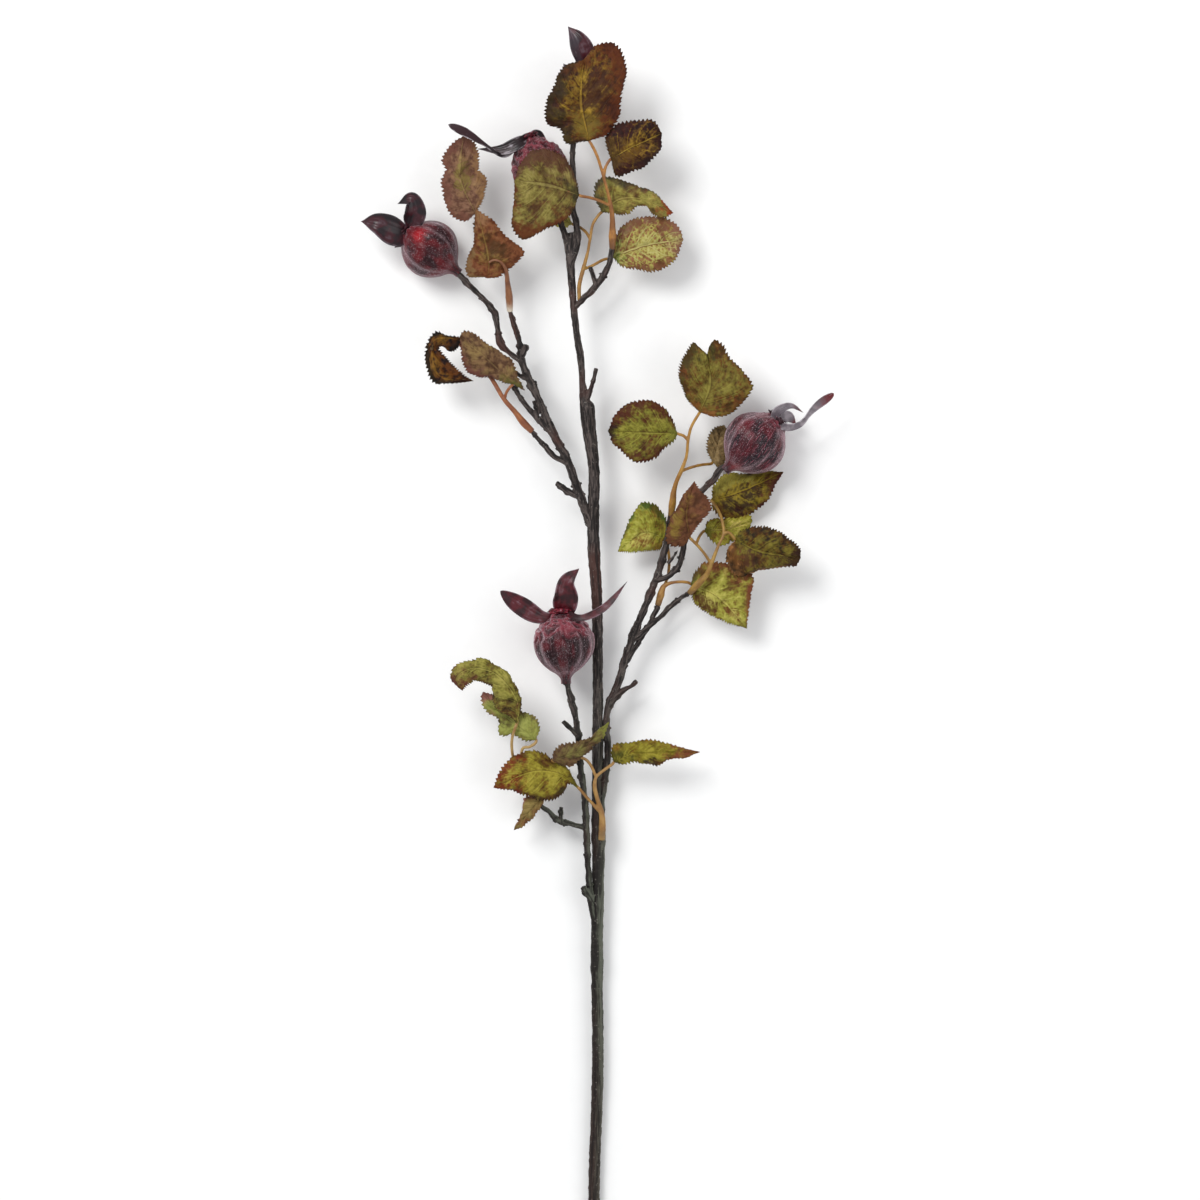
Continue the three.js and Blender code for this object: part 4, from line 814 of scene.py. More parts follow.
def inside(start, towards):
    return np.array(start) + PUSHED_IN * unit(np.subtract(towards, start))


MOUTHS = [inside(hip["neck"], hip["crown"]) for hip in HIPS.values()]
MOUTHS += [inside(*parts[0]["route"][:2]) for parts in STALKS.values()]


def carried_on(part, stops, radii):
    return {"route": [*part["route"], *map(tuple, stops)], "radii": [*part["radii"], *radii]}


def pushed_in(part):
    """The same rod, carried on into the neck or socket that it ends at."""
    away = [np.linalg.norm(mouth - part["route"][-1]) for mouth in MOUTHS]
    if min(away) > NEAR:
        return part
    return carried_on(part, [MOUTHS[int(np.argmin(away))]], [0.9 * part["radii"][-1]])


WOOD = {name: [pushed_in(part) for part in parts] for name, parts in WOOD.items()}
print("stem and twigs are swept from", sum(map(len, WOOD.values())), "rods")

# %% [markdown]
# ## Stem and twigs
# Florist's tape is a stretched crepe paper, charcoal brown and waxed. It gives the eye a dark, matt
# stem with fine furrows along it, painted darker as shade, and rusty patches. Low down, the side
# that faces right is painted lighter and olive grey as painted light, the left side dark, and the
# cut end turns reddish brown. The finish could be painted by hand. Here it is noise laid out on
# each rod's own length and girth, stretched lengthwise, so the furrows follow every bend.

# %% Tape finish
tape, shader, node = new_material("crepe_stem_tape", 0.6, ior=1.45, Specular_IOR_Level=0.2)
own = node("Attribute", attribute_name="own_place", output="Vector")
place = node("TexCoord", output="Object")
height = node("SeparateXYZ", place, output="Y")
rightward = node("SeparateXYZ", node("NewGeometry", output="Normal"), output="X")
fibres = node("Mapping", Vector=own, Scale=(1.1, 1.1, 0.16))
grain = node("TexNoise", Vector=fibres, Scale=1.0, Detail=4.0)
folds = node("Mapping", Vector=own, Scale=(0.42, 0.42, 0.035))
furrow = node("TexNoise", Vector=folds, Scale=1.0, Detail=2.0)
patch = node("TexNoise", Vector=place, Scale=28.0, Detail=3.0)  # 35 mm patches
fleck = node("TexNoise", Vector=place, Scale=700.0, Detail=1.0)  # 1.5 mm flecks

charcoal = node("blend", node("step", grain, 0.38, 0.64), "#1e1a19", "#524945")
rusty = node("MULTIPLY", node("step", patch, 0.52, 0.68), 0.7)
upper_stem = node("blend", rusty, charcoal, "#4c3029")
# Painted light: low on the stem the right-facing side is lighter, olive grey, and the left dark.
painted_light_side = node("step", node("MULTIPLY_ADD", grain, 0.8, rightward), 0.0, 1.1)
foot = node("MULTIPLY", node("step", height, -0.2, -0.36), 0.6)
lower_stem = node("blend", foot, node("blend", painted_light_side, "#171512", "#5c6053"), "#3c2a24")
lower = node("MULTIPLY", node("step", height, 0.02, -0.16), 0.85)
colour = node("blend", lower, upper_stem, lower_stem)
# Painted shade: the tape is darker along its furrows.
colour = node("blend", node("MULTIPLY", node("step", furrow, 0.5, 0.38), 0.75), colour, "#171312")
colour = node("blend", node("MULTIPLY", node("step", fleck, 0.66, 0.74), 0.35), colour, "#8a837b")
paint(shader, colour, grain, 0.35, 0.0003)
print("tape material has", len(tape.node_tree.nodes), "nodes")

# %% [markdown]
# The tape is wound round the wire in a long spiral. Its overlapping edge stands up a little once
# every turn, and the crepe leaves fine wrinkles along the stem. The side twigs are moulded with
# small knots. Edge, lumps, knots and wrinkles are moved into the mesh itself and not drawn as bump,
# so the outline shows them too.

# %% Stem and twig pieces
TAPE_TURN = 11.0  # mm of stem for each turn of the tape
TAPE_EDGE = 0.22  # mm that the overlapping edge stands up
KNOT_SPACING = 13  # mm
KNOT_WIDTH = 1.7  # mm
LUMP_SIZE = 4.2  # mm
WRINKLE_DEPTH = 0.12  # mm
WRINKLE_SIZE = 1.3  # mm
SINK = 0.1  # mm that the skin is let in, so that the relief stands about the plain rod
STEM_RELIEF = {"voxel": 0.62, "lump": 0.35, "knot": 0.3}  # mm
TWIG_RELIEF = {"voxel": 0.48, "lump": 0.55, "knot": 1.1}  # mm


def taped_piece(name, parts, voxel, lump, knot):
    mesh, lines = fused_rods(parts, voxel)
    points, normals = vectors_of(mesh.vertices, "co") / MM, vectors_of(mesh.vertex_normals, "vector")
    own_place, owner, radius = place_on_rods(points, lines)
    along = own_place[:, 2]
    turn = np.arctan2(own_place[:, 1], own_place[:, 0]) / (2 * np.pi)
    wound = (along / TAPE_TURN + turn) % 1
    edge = TAPE_EDGE * wound**3 * np.minimum(radius / STEM_RADIUS, 1)
    lumps = lump * noise_at(points, LUMP_SIZE, 1)
    uneven = along + 7 * owner + 4 * np.sin(0.23 * along + owner)
    past_knot = uneven % KNOT_SPACING - KNOT_SPACING / 2
    size = np.maximum(0.35 + 1.5 * noise_at(points, 4, 4), 0)
    lumps += knot * np.exp(-((past_knot / KNOT_WIDTH) ** 2)) * size
    wrinkles = WRINKLE_DEPTH * noise_at(own_place * (1, 1, 0.25), WRINKLE_SIZE, 2)
    moved = points + normals * (edge + lumps + wrinkles - SINK)[:, None]
    moved[:, 2] = np.maximum(moved[:, 2], 0)
    move_points(mesh, moved)
    store(mesh, "own_place", "FLOAT_VECTOR", own_place)
    make_piece(name, mesh, [tape])


for name, parts in WOOD.items():
    taped_piece(name, parts, **(STEM_RELIEF if name == "stem_main" else TWIG_RELIEF))

# %% [markdown]
# ## Leaf stalks
# The orange stalks are moulded in soft polyethylene. Each is a thin forked rod that swells into a
# socket where it is pushed over a twig. The plastic is waxy: a little light goes in and comes out
# again, which softens its shading. Paint has darkened the sockets towards their mouths. The far end
# of each branch is glued under a leaf's midrib. The same fused rods as for the stem are used, with a
# finer voxel, because a coarse one would swallow a rod 2 mm thick.

# %% Stalk finish
# For each stalk: its dark and light plastic, and the paint at its socket's mouth.
STALK_LOOKS = {
    "stalk_a": ("#7d4e23", "#a77332", "#613d1b"),
    "stalk_b": ("#815924", "#a47c37", "#745226"),
    "stalk_c": ("#66381e", "#835431", "#d8cfbb"),
    "stalk_d": ("#753f22", "#955a30", "#683920"),
    "stalk_e": ("#885c1f", "#a87d2e", "#5c441f"),
    "stalk_f": ("#7e511d", "#a47931", "#4b351b"),
    "stalk_g": ("#7f5a22", "#9d7a33", "#684d27"),
    "stalk_h": ("#835c2a", "#a07a3f", "#6e5a36"),
    "stalk_i": ("#8c6837", "#aa8d56", "#887447"),
}


def waxy_stalk(name, dark, light, mouth):
    material, shader, node = new_material("moulded_polyethylene_" + name, 0.5, ior=1.51)
    shader.inputs["Subsurface Weight"].default_value = 0.06
    shader.inputs["Subsurface Radius"].default_value = (0.0012, 0.0006, 0.0003)
    own = node("Attribute", attribute_name="own_place", output="Vector")
    along = node("SeparateXYZ", own, output="Z")
    patch = node("TexNoise", Vector=node("TexCoord", output="Object"), Scale=150.0, Detail=3.0)  # 7 mm
    stretched = node("Mapping", Vector=own, Scale=(1.2, 1.2, 0.2))
    streak = node("TexNoise", Vector=stretched, Scale=1.0, Detail=3.0)
    colour = node("blend", node("step", patch, 0.36, 0.62), dark, light)
    colour = node("blend", node("MULTIPLY", node("step", streak, 0.52, 0.36), 0.5), colour, dark)
    near_mouth = node("step", node("MULTIPLY_ADD", patch, 14.0, along), 16.0, 5.0)
    colour = node("blend", node("MULTIPLY", near_mouth, 0.85), colour, mouth)
    paint(shader, colour, streak, 0.3, 0.0003)
    return material


# %% Stalk pieces
STALK_VOXEL = 0.36  # mm
STALK_LUMP = 0.1  # mm
BRANCH_START = 40  # mm added along side branches, so that only the socket takes the dark paint
UNDER_LEAF = 1.0  # mm that a stalk's end lies under the leaf's rib
GLUED = np.array([0, 0.08, 0.2])  # shares of the rib that the stalk runs under


def glued_on(part):
    """The same rod, carried on under the rib of the leaf that it ends at."""
    end = np.array(part["route"][-1])
    leaf = min(LEAVES.values(), key=lambda leaf: np.linalg.norm(end - leaf["rib"][0]))
    rib = smooth_curve(leaf["rib"])[0](GLUED)
    if np.linalg.norm(end - rib[0]) > NEAR:
        return part
    last = min(THIN, part["radii"][-1])
    return carried_on(part, rib - (0, 0, UNDER_LEAF), [last, 0.8 * last, 0.5 * last])


def stalk_piece(name, parts):
    mesh, lines = fused_rods(parts, STALK_VOXEL, sides=12, step=1.0, smooth=2)
    points, normals = vectors_of(mesh.vertices, "co") / MM, vectors_of(mesh.vertex_normals, "vector")
    own_place, owner, _ = place_on_rods(points, lines)
    own_place[:, 2] += BRANCH_START * (owner > 0)
    bumps = STALK_LUMP * noise_at(points, 2.5, 3)
    move_points(mesh, points + normals * bumps[:, None])
    store(mesh, "own_place", "FLOAT_VECTOR", own_place)
    make_piece(name, mesh, [waxy_stalk(name, *STALK_LOOKS[name])])


for name, parts in STALKS.items():
    stalk_piece(name, [glued_on(part) for part in parts])

# %% [markdown]
# ## Hips
# The hips are light foam cores, coated and painted dark red, then brushed with a whitish frost that
# catches in the wrinkles. Dried hips shrink into lengthwise ridges, and the crown end crumples.
# The body is turned from one profile. It could be sculpted. Here ridges, dents and the knobbly crown
# are formulas of the angle and the height, so five hips come from one recipe and each differs by its
# number and its few measures.

# %% Hip measures
HIP_RIDGES = 11
RIDGE_HEIGHT = 0.03  # share of the radius
DENT_DEPTH = 0.02  # share of the radius
WRINKLE_ROUND = 1.7  # mm across a wrinkle
KNOB_SIZE, GRAIN_SIZE = 5.2, 2.2  # mm, the crown's knobs and the grains on them
CROWN_EDGE_SIZE = 7  # mm, the bays of the crumpled crown's edge
CROWN_EDGE_WIDTH = 0.12  # share of the height over which the crumpling sets in
CROWN_RISE = 1.2  # mm that the crumpled crown's knobs stand up
# Each hip's paint: `deep` and `red` under a `frost` that covers its flanks, brushed hairs in the
# colour `stroke`, and patches with a place in mm, a size in mm and a colour. The frost on the
# flanks is partly painted sheen at the rim. `crown` is the share of its height that is crumpled,
# `swirl` how far the brush marks wind round, `specks` the noise above which a speck shows, and
# `folds`, `hair` and `valley` are how strongly each of them darkens or shows. The dark in the
# folds and between the ridges is painted shade, and `valley` also thickens the frost on the ridge
# tops, partly as painted highlight.
HIP_LOOKS = {
    1: {
        "deep": "#2b0a12", "red": "#571019", "frost": "#74555e", "cover": 0.3, "crown": 0.3, "swirl": 0.0,
        "folds": 0.4, "hair": 0.2, "valley": 0.4, "specks": 0.62, "stroke": "#7d4a53",
    },
    2: {
        "deep": "#1a0508", "red": "#4a0a11", "frost": "#80565e", "cover": 0.25, "crown": 0.75,
        "swirl": 0.2, "folds": 0.4, "hair": 0.25, "valley": 0.4, "specks": 0.62, "stroke": "#7d4a53",
        "patches": [((-40.0, 333.0, 40.0), 9, "#861823")],
    },
    3: {
        "deep": "#1e0408", "red": "#590910", "frost": "#a98d94", "cover": 0.5, "crown": 0.1, "swirl": 0.1,
        "folds": 0.2, "hair": 0.2, "valley": 0.05, "specks": 0.61, "stroke": "#7c3540",
        "patches": [
            ((-109.0, 279.0, 34.0), 11, "#7a2832"), ((-116.0, 271.0, 33.0), 9, "#a8161f"),
            ((-101.0, 265.0, 42.0), 9, "#560710"), ((-108.0, 260.0, 38.0), 9, "#2e070d"),
            ((-99.0, 250.0, 26.0), 7, "#6c1820"), ((-121.0, 257.0, 26.0), 9, "#5c4048"),
        ],
    },
    4: {
        "deep": "#1a0306", "red": "#4e0b13", "frost": "#cba8b0", "cover": 0.55, "crown": 0.38,
        "swirl": 0.1, "folds": 0.15, "hair": 0.2, "valley": 0.85, "specks": 0.61, "stroke": "#8e5a64",
        "patches": [((-24.0, 20.0, 48.0), 12, "#74162a"), ((-9.0, 2.0, 36.0), 8, "#551d2a")],
    },
    5: {
        "deep": "#1b0f15", "red": "#4c0f18", "frost": "#ad8c94", "cover": 0.7, "crown": 0.1,
        "swirl": 0.35, "folds": 0.15, "hair": 0.8, "valley": 0.1, "specks": 0.62, "stroke": "#80424d",
        "patches": [
            ((90.0, 119.0, 26.0), 8, "#822620"), ((97.0, 149.0, 36.0), 9, "#5e1820"),
            ((86.0, 136.0, 30.0), 8, "#30242b"), ((97.0, 124.0, 44.0), 9, "#22161c"),
            ((110.0, 130.0, 42.0), 8, "#33161d"), ((122.0, 140.0, 26.0), 8, "#946870"),
        ],
    },
}

# %% Hip form
ROUND_STEPS = 150
HEIGHT_STEPS = 104
HIP_VALUES = ("wrinkle", "crumple", "knobs", "ridge")


def stood_up(local, neck, crown, foot):
    """Points whose height runs along y, turned to the line from neck to crown and set on a foot."""
    facing = Vector((0, 1, 0)).rotation_difference(Vector((crown - neck).tolist()))
    return local @ np.array(facing.to_matrix()).T + foot


def hip_form(number):
    """Points, own places and finish values of one hip, turned about its axis and placed."""
    hip, look = HIPS[number], HIP_LOOKS[number]
    neck, crown, radius = np.array(hip["neck"], float), np.array(hip["crown"], float), hip["radius"]
    length = np.linalg.norm(crown - neck)
    profile = smooth_curve([(share * radius, along * length, 0) for along, share in HIP_PROFILE])[0]
    outline = profile(np.linspace(0, 1, HEIGHT_STEPS))
    height = np.repeat(outline[:, 1:2], ROUND_STEPS, axis=1)
    turn = np.repeat(np.linspace(0, 2 * np.pi, ROUND_STEPS, endpoint=False)[None], HEIGHT_STEPS, axis=0)
    share = height / length
    belly = np.sin(np.pi * share)
    ridge = np.cos(HIP_RIDGES * turn + 2 * share) * belly
    swell = 1 + RIDGE_HEIGHT * ridge
    swell += DENT_DEPTH * np.sin(3 * turn + number) * belly
    wide = outline[:, 0:1] * swell
    local = np.stack([wide * np.sin(turn), height, wide * np.cos(turn)], axis=-1).reshape(-1, 3)
    twisted = turn + look["swirl"] * share * 1.5
    own = np.stack([radius * np.sin(twisted), radius * np.cos(twisted), height], axis=-1).reshape(-1, 3)
    flat_share = share.ravel()
    wrinkle = noise_at(own * (1, 1, 0.2), WRINKLE_ROUND, number) * np.sin(np.pi * flat_share) ** 0.5
    ragged = flat_share + 0.1 * noise_at(local, CROWN_EDGE_SIZE, number + 30)
    crumple = np.clip((ragged - (1 - look["crown"])) / CROWN_EDGE_WIDTH, 0, 1)
    knobs = 0.9 - 2.2 * np.abs(noise_at(local, KNOB_SIZE, number + 20))
    knobs += 0.7 * noise_at(local, GRAIN_SIZE, number + 40)
    out = unit(local - np.array([0, 0.5 * length, 0]))
    depth = 0.12 + 0.3 * look["folds"]
    rise = depth * wrinkle * (1 - crumple) + CROWN_RISE * crumple * (knobs - 0.5)
    local = local + out * rise[:, None]
    local = np.vstack([local, [[0, 0, 0], [0, length - 0.5, 0]]])
    own = np.vstack([own, [[0, 0, 0], [0, 0, length]]])
    points = stood_up(local, neck, crown, neck)
    points[:, 2] = np.maximum(points[:, 2], 0)
    return points, own, [np.append(value, [0, 1]) for value in (wrinkle, crumple, knobs, ridge.ravel())]


# %% [markdown]
# The paint is acrylic over a smooth coat: a deep red that looks wet at the front, and a dry, whitish
# frost. Frost was brushed on, so it stays on the flanks, on the ridges and in fine hairs that run
# from neck to crown. Where the surface faces sideways, the whiter flank is partly painted sheen
# at the rim, and the frost on the ridge tops is partly painted highlight. A printed image would
# smear at the neck. Noise laid out on the hip's own girth and height keeps its hairs lengthwise
# everywhere, and the share of the surface that faces sideways tells where the veil of frost and
# painted sheen is thick.

# %% Hip finish
def frosted_paint(number):
    look = HIP_LOOKS[number]
    material, shader, node = new_material(
        f"frosted_acrylic_paint_{number}",
        0.5,
        Specular_IOR_Level=0.15,
        Coat_Weight=0.1,
        Coat_Roughness=0.15,
    )
    own = node("Attribute", attribute_name="own_place", output="Vector")
    wrinkle, crumple, knobs, ridge = [
        node("Attribute", attribute_name=key, output="Fac") for key in HIP_VALUES
    ]
    place = node("TexCoord", output="Object")
    stretched = node("Mapping", Vector=own, Scale=(1, 1, 0.12))
    brushed = node("Mapping", Vector=own, Scale=(1, 1, 0.1))
    hairs = node("TexNoise", Vector=brushed, Scale=1.5, Detail=2.0, Distortion=0.5)  # 0.7 mm wide
    folds = node("TexNoise", Vector=stretched, Scale=0.6, Detail=2.0, Distortion=0.5)  # 1.7 mm wide
    cloud = node("TexNoise", Vector=own, Scale=0.1, Detail=1.5)  # 10 mm clouds
    speck = node("TexNoise", Vector=own, Scale=2.0, Detail=3.0)  # 0.5 mm specks
    upward = node("SeparateXYZ", node("NewGeometry", output="Normal"), output="Z")
    # Frost and, partly, painted sheen: more where the surface faces sideways, towards the rim.
    flank = node("step", node("MULTIPLY_ADD", cloud, 0.5, upward), 1.05, 0.4)

    # The red coat, with its patches, and painted shade: darker in the folds and between the ridges.
    colour = node("blend", node("step", cloud, 0.4, 0.6), look["deep"], look["red"])
    for spot, size, hue in look.get("patches", []):
        middle = tuple(value * MM for value in spot)
        away = node("VectorMath", place, middle, operation="DISTANCE", output="Value")
        ragged = node("MULTIPLY_ADD", folds, 0.006, away)
        share = node("step", ragged, 1.3 * size * MM, 0.35 * size * MM)
        colour = node("blend", node("MULTIPLY", share, 0.9), colour, hue)
    fold = node("MULTIPLY", node("step", folds, 0.5, 0.34), look["folds"])
    colour = node("blend", fold, colour, look["deep"])
    valley = node("MULTIPLY", node("step", ridge, 0.1, -0.8), look["valley"])
    colour = node("blend", valley, colour, look["deep"])
    # The crumpled crown: darker in the crevices between its knobs as painted shade, rosy on the knobs.
    rosy = node("blend", cloud, "#661620", "#86404b")
    crown = node("blend", node("step", knobs, -0.1, 0.8), "#360b12", rosy)
    colour = node("blend", node("MULTIPLY", crumple, 0.85), colour, crown)

    # The frost: a veil on the flanks, brushed hairs, and specks. Where the surface faces sideways
    # the veil, the paler hairs and the brighter specks are partly painted sheen at the rim.
    veil = node("MULTIPLY_ADD", flank, 0.32 + 0.6 * look["cover"], 0.03 * look["cover"])
    # The frost is thicker on the ridge tops, partly as painted highlight.
    veil = node("MULTIPLY", veil, node("MULTIPLY_ADD", ridge, 0.8 * look["valley"], 1.0))
    broken = node("step", folds if look["folds"] > 0.2 else speck, 0.35, 0.6)
    colour = node("blend", node("MULTIPLY", veil, broken), colour, look["frost"])
    strength = node("MULTIPLY_ADD", flank, 0.45, look["hair"])
    hair = node("MULTIPLY", node("step", hairs, 0.55, 0.65), strength)
    colour = node("blend", hair, colour, node("blend", flank, look["stroke"], "#c8b0b6"))
    bright = node("step", speck, look["specks"], look["specks"] + 0.05)
    spark = node("MULTIPLY", bright, node("MULTIPLY_ADD", flank, 0.4, 0.42))
    colour = node("blend", spark, colour, "#e0cfd4")
    # Painted shade: darker in the creases of the wrinkles.
    crease_shade = node("MULTIPLY", node("step", wrinkle, -0.1, -0.5), 0.5)
    colour = node("blend", crease_shade, colour, look["deep"])
    paint(shader, colour, hairs, 0.5, 0.0006)
    dull = node("MULTIPLY_ADD", veil, 0.5, 0.34)
    material.node_tree.links.new(dull, shader.inputs["Roughness"])
    return material


# %% Hip pieces
for number, hip in HIPS.items():
    points, own, values = hip_form(number)
    mesh = mesh_from(points, turned_faces(HEIGHT_STEPS, ROUND_STEPS))
    store(mesh, "own_place", "FLOAT_VECTOR", own)
    for key, value in zip(HIP_VALUES, values):
        store(mesh, key, "FLOAT", value)
    make_piece(f"hip_{number}", mesh, [frosted_paint(number)])
    print("it is", round(2 * hip["radius"]), "mm thick")

# %% [markdown]
# ## Blades
# Leaves and sepals are both blades: a thin body over a curved surface, with a share t from base to
# tip and a share u from the left margin, -1, to the right margin, 1. One function builds any such
# body with a thickness and a relief that change over the surface. Both faces come from the same
# rows, so the body is closed and even. A flat sheet with a thickness modifier would be shorter to
# write, but it would need painted weights to grow thinner towards the margin.

# %% Blade body
def blade_body(surface, t, u, thickness, relief, margin=None):
    """Points, faces, a (u, t) pair and a lift in mm for each point, and the faces' sides."""
    t_grid, u_grid = np.meshgrid(t, u, indexing="ij")
    middle = surface(*(margin(t_grid, u_grid) if margin else (t_grid, u_grid)))
    normal = unit(np.cross(np.gradient(middle, axis=1), np.gradient(middle, axis=0)))
    normal[0] = normal[2].mean(axis=0)
    normal[-1] = normal[-3].mean(axis=0)
    normal[1] = unit(normal[2] + normal[0])
    normal[-2] = unit(normal[-3] + normal[-1])
    lift = relief(t_grid, u_grid, middle)
    half = thickness(t_grid, u_grid) / 2
    points = [(middle + normal * (lift + way * half)[..., None]).reshape(-1, 3) for way in (1, -1)]
    ids = np.arange(t_grid.size).reshape(t_grid.shape)
    faces, under = [], []
    for row, next_row in zip(ids[:-1], ids[1:]):
        for quad in zip(row[:-1], row[1:], next_row[1:], next_row[:-1]):
            faces += [quad, tuple(ids.size + corner for corner in reversed(quad))]
            under += [0, 1]
    rim = [*ids[0, :-1], *ids[:-1, -1], *ids[-1, :0:-1], *ids[:0:-1, 0]]
    for here, after in zip(rim, rim[1:] + rim[:1]):
        faces.append((here, ids.size + here, ids.size + after, after))
        under.append(0)
    pairs = np.stack([u_grid, t_grid], axis=-1).reshape(-1, 2)
    return np.vstack(points), faces, np.vstack([pairs, pairs]), np.tile(lift.ravel(), 2), under


WELD = 0.02  # mm
SPECK = 0.005  # mm, the length of an edge too short to keep


def blade_mesh(points, faces, pairs, lifts, under):
    """A welded mesh with the (u, t) pairs as its UV map and the underside as second material."""
    work = bmesh.new()
    lift_layer = work.verts.layers.float.new("lift")
    uv_layer = work.loops.layers.uv.new("blade")
    corners = [work.verts.new(point) for point in (points * MM).tolist()]
    for corner, lift in zip(corners, lifts):
        corner[lift_layer] = lift
    for face, side in zip(faces, under):
        made = work.faces.new([corners[k] for k in face])
        made.material_index = side
        for loop, k in zip(made.loops, face):
            loop[uv_layer].uv = ((pairs[k][0] + 1) / 2, pairs[k][1])
    bmesh.ops.remove_doubles(work, verts=work.verts, dist=WELD * MM)
    bmesh.ops.dissolve_degenerate(work, edges=work.edges, dist=SPECK * MM)
    mesh = bpy.data.meshes.new("draft")
    work.to_mesh(mesh)
    work.free()
    return mesh


# %% [markdown]
# ## Calyces
# A rose keeps its sepals when the hip ripens. Here they are moulded as one piece with the crumpled
# collar that sits on the crown: stiff, curled, nearly black with maroon where the coat is thin, and
# grey where the frosting brush has passed. Long grooves run down each sepal. The collar takes the
# paint of the crown, so it has a finish of its own.

# %% Sepal measures
SEPAL_THICKNESS = 1.3
SEPAL_ROOT = 3
SEPAL_WIDEST = (0.45, 0.45)
SEPAL_FULLNESS = 0.8  # below 1 a sepal swells fast from its base
SEPAL_POINT = 1.2  # above 1 a sepal runs out to a point, below 1 its tip is blunt
SEPAL_CURL = (20, 20)
# Each sepal's rib, and for its left and right halves how wide it is, where along the rib it is
# widest, and by how many degrees it curls up. A roll and a twist are degrees about the rib.
SEPALS = {
    1: [
        {
            "rib": [(-10.5, 378, 22), (-9, 387.5, 27), (-12.5, 398, 29), (-19, 406.5, 26)],
            "width": (7.5, 8), "widest": (0.5, 0.42), "curl": (35, 40),
        },
        {"rib": [(-12.5, 377.5, 21), (-18, 378, 20), (-22, 383, 19)], "width": (3, 3)},
        {"rib": [(-8, 377.5, 21), (0, 381, 20), (6.5, 376, 22)], "width": (4, 4)},
    ],
    2: [
        {
            "rib": [(-45.5, 334, 28), (-50.5, 330.5, 35), (-60.5, 326, 34), (-78, 326.5, 30)],
            "width": (4.5, 4), "widest": (0.35, 0.35), "curl": (30, 30),
        },
        {
            "rib": [
                (-45.5, 332.5, 22), (-53.5, 326, 26), (-61, 321.5, 34), (-73, 328.5, 42.5),
                (-84.5, 335.5, 45), (-96, 341, 45),
            ],
            "width": (3.1, 3.1), "widest": (0.84, 0.84), "curl": (30, 30), "roll": 35, "twist": -50,
            "point": 0.6,
        },
        {"rib": [(-44, 334, 21), (-39.5, 337, 14), (-32, 332.5, 7)], "width": (3.5, 3.5)},
    ],
    3: [
        {
            "rib": [(-122, 272.5, 20), (-132, 274, 27), (-142.5, 278, 30), (-153.5, 280, 23)],
            "width": (10.8, 9), "widest": (0.34, 0.45), "curl": (40, 35),
        },
        {
            "rib": [(-121.5, 275.5, 22), (-117.5, 285.5, 29), (-120, 294, 32), (-129.5, 291, 28)],
            "width": (8.2, 7), "widest": (0.38, 0.38), "curl": (50, 30),
        },
        {"rib": [(-123, 273.5, 16), (-128, 267.5, 13), (-132, 263.5, 11)], "width": (4, 4)},
    ],
    4: [
        {
            "rib": [(-24, 23.5, 33), (-37, 23, 37), (-50, 31, 41), (-62.5, 40, 41)],
            "width": (6.5, 6.5), "widest": (0.6, 0.55), "curl": (30, 30), "point": 0.7,
        },
        {
            "rib": [(-23, 24.5, 33), (-20, 35.5, 39), (-19, 46, 42), (-11.5, 54.5, 40)],
            "width": (8.8, 8.8), "widest": (0.36, 0.3), "curl": (45, 45), "point": 1,
        },
        {
            "rib": [(-21, 25.5, 36), (-11, 22.5, 43.5), (4, 28.5, 44), (19.5, 46, 43)],
            "width": (2.6, 3), "widest": (0.5, 0.45), "curl": (40, 40), "roll": -20,
        },
        {"rib": [(-23, 25, 30), (-20, 34, 24), (-16, 42, 22)], "width": (5, 5)},
    ],
    5: [
        {
            "rib": [
                (116.5, 149, 23), (124, 146, 30), (131.5, 148, 33), (140, 157.5, 34), (153.5, 168, 32),
            ],
            "width": (2.9, 2.9), "widest": (0.8, 0.8), "curl": (40, 40), "point": 0.5,
        },
        {
            "rib": [(114.5, 150.5, 24), (117.5, 157, 30), (125.5, 160, 32), (134, 155.5, 29)],
            "width": (3, 3.4), "widest": (0.3, 0.3), "curl": (30, 30),
        },
        {"rib": [(116.5, 150, 17), (124, 153.5, 13), (130, 148.5, 11)], "width": (4, 4)},
    ],
}

# %% Sepal surface
def sepal_surface(sepal):
    at = smooth_curve(sepal["rib"])[0]

    def surface(t, u):
        half_of = lambda pair: np.where(u < 0, *pair)
        widest = half_of(sepal.get("widest", SEPAL_WIDEST))
        power = np.where(t < widest, SEPAL_FULLNESS, sepal.get("point", SEPAL_POINT))
        share = np.sin(np.pi * np.clip(t, 0, 1) ** (np.log(0.5) / np.log(widest))) ** power
        width = np.maximum(half_of(sepal["width"]) * share, SEPAL_ROOT * (1 - t))
        forward = unit(at(np.clip(t + 0.01, 0, 1)) - at(np.clip(t - 0.01, 0, 1)))
        across = unit(np.cross(forward, [0, 0, 1]))
        angle = np.radians(sepal.get("roll", 0) + sepal.get("twist", 0) * (t - 0.5))[..., None]
        across = across * np.cos(angle) + np.cross(forward, across) * np.sin(angle)
        facing = np.cross(across, forward)
        bend = np.radians(half_of(sepal.get("curl", SEPAL_CURL)))
        reach = width / bend * np.sin(bend * np.abs(u)) * np.sign(u)
        rise = width / bend * (1 - np.cos(bend * u))
        return at(t) + across * reach[..., None] + facing * rise[..., None]

    return surface


# %% [markdown]
# The sepals are polyethylene with a coat of lacquer: two dark tones that drift into each other, a low
# gloss, and grey streaks along the grooves where the frosting brush has passed. The grey of the
# streaks and of the rims is partly frost and partly painted sheen, and on calyces 2 and 5 it is
# pale enough to stand as painted highlights. The streaks follow the blade's own UV map, so they
# curl with each sepal. The collar has the crown's paint and no lacquer, and its lumps carry the
# frost.

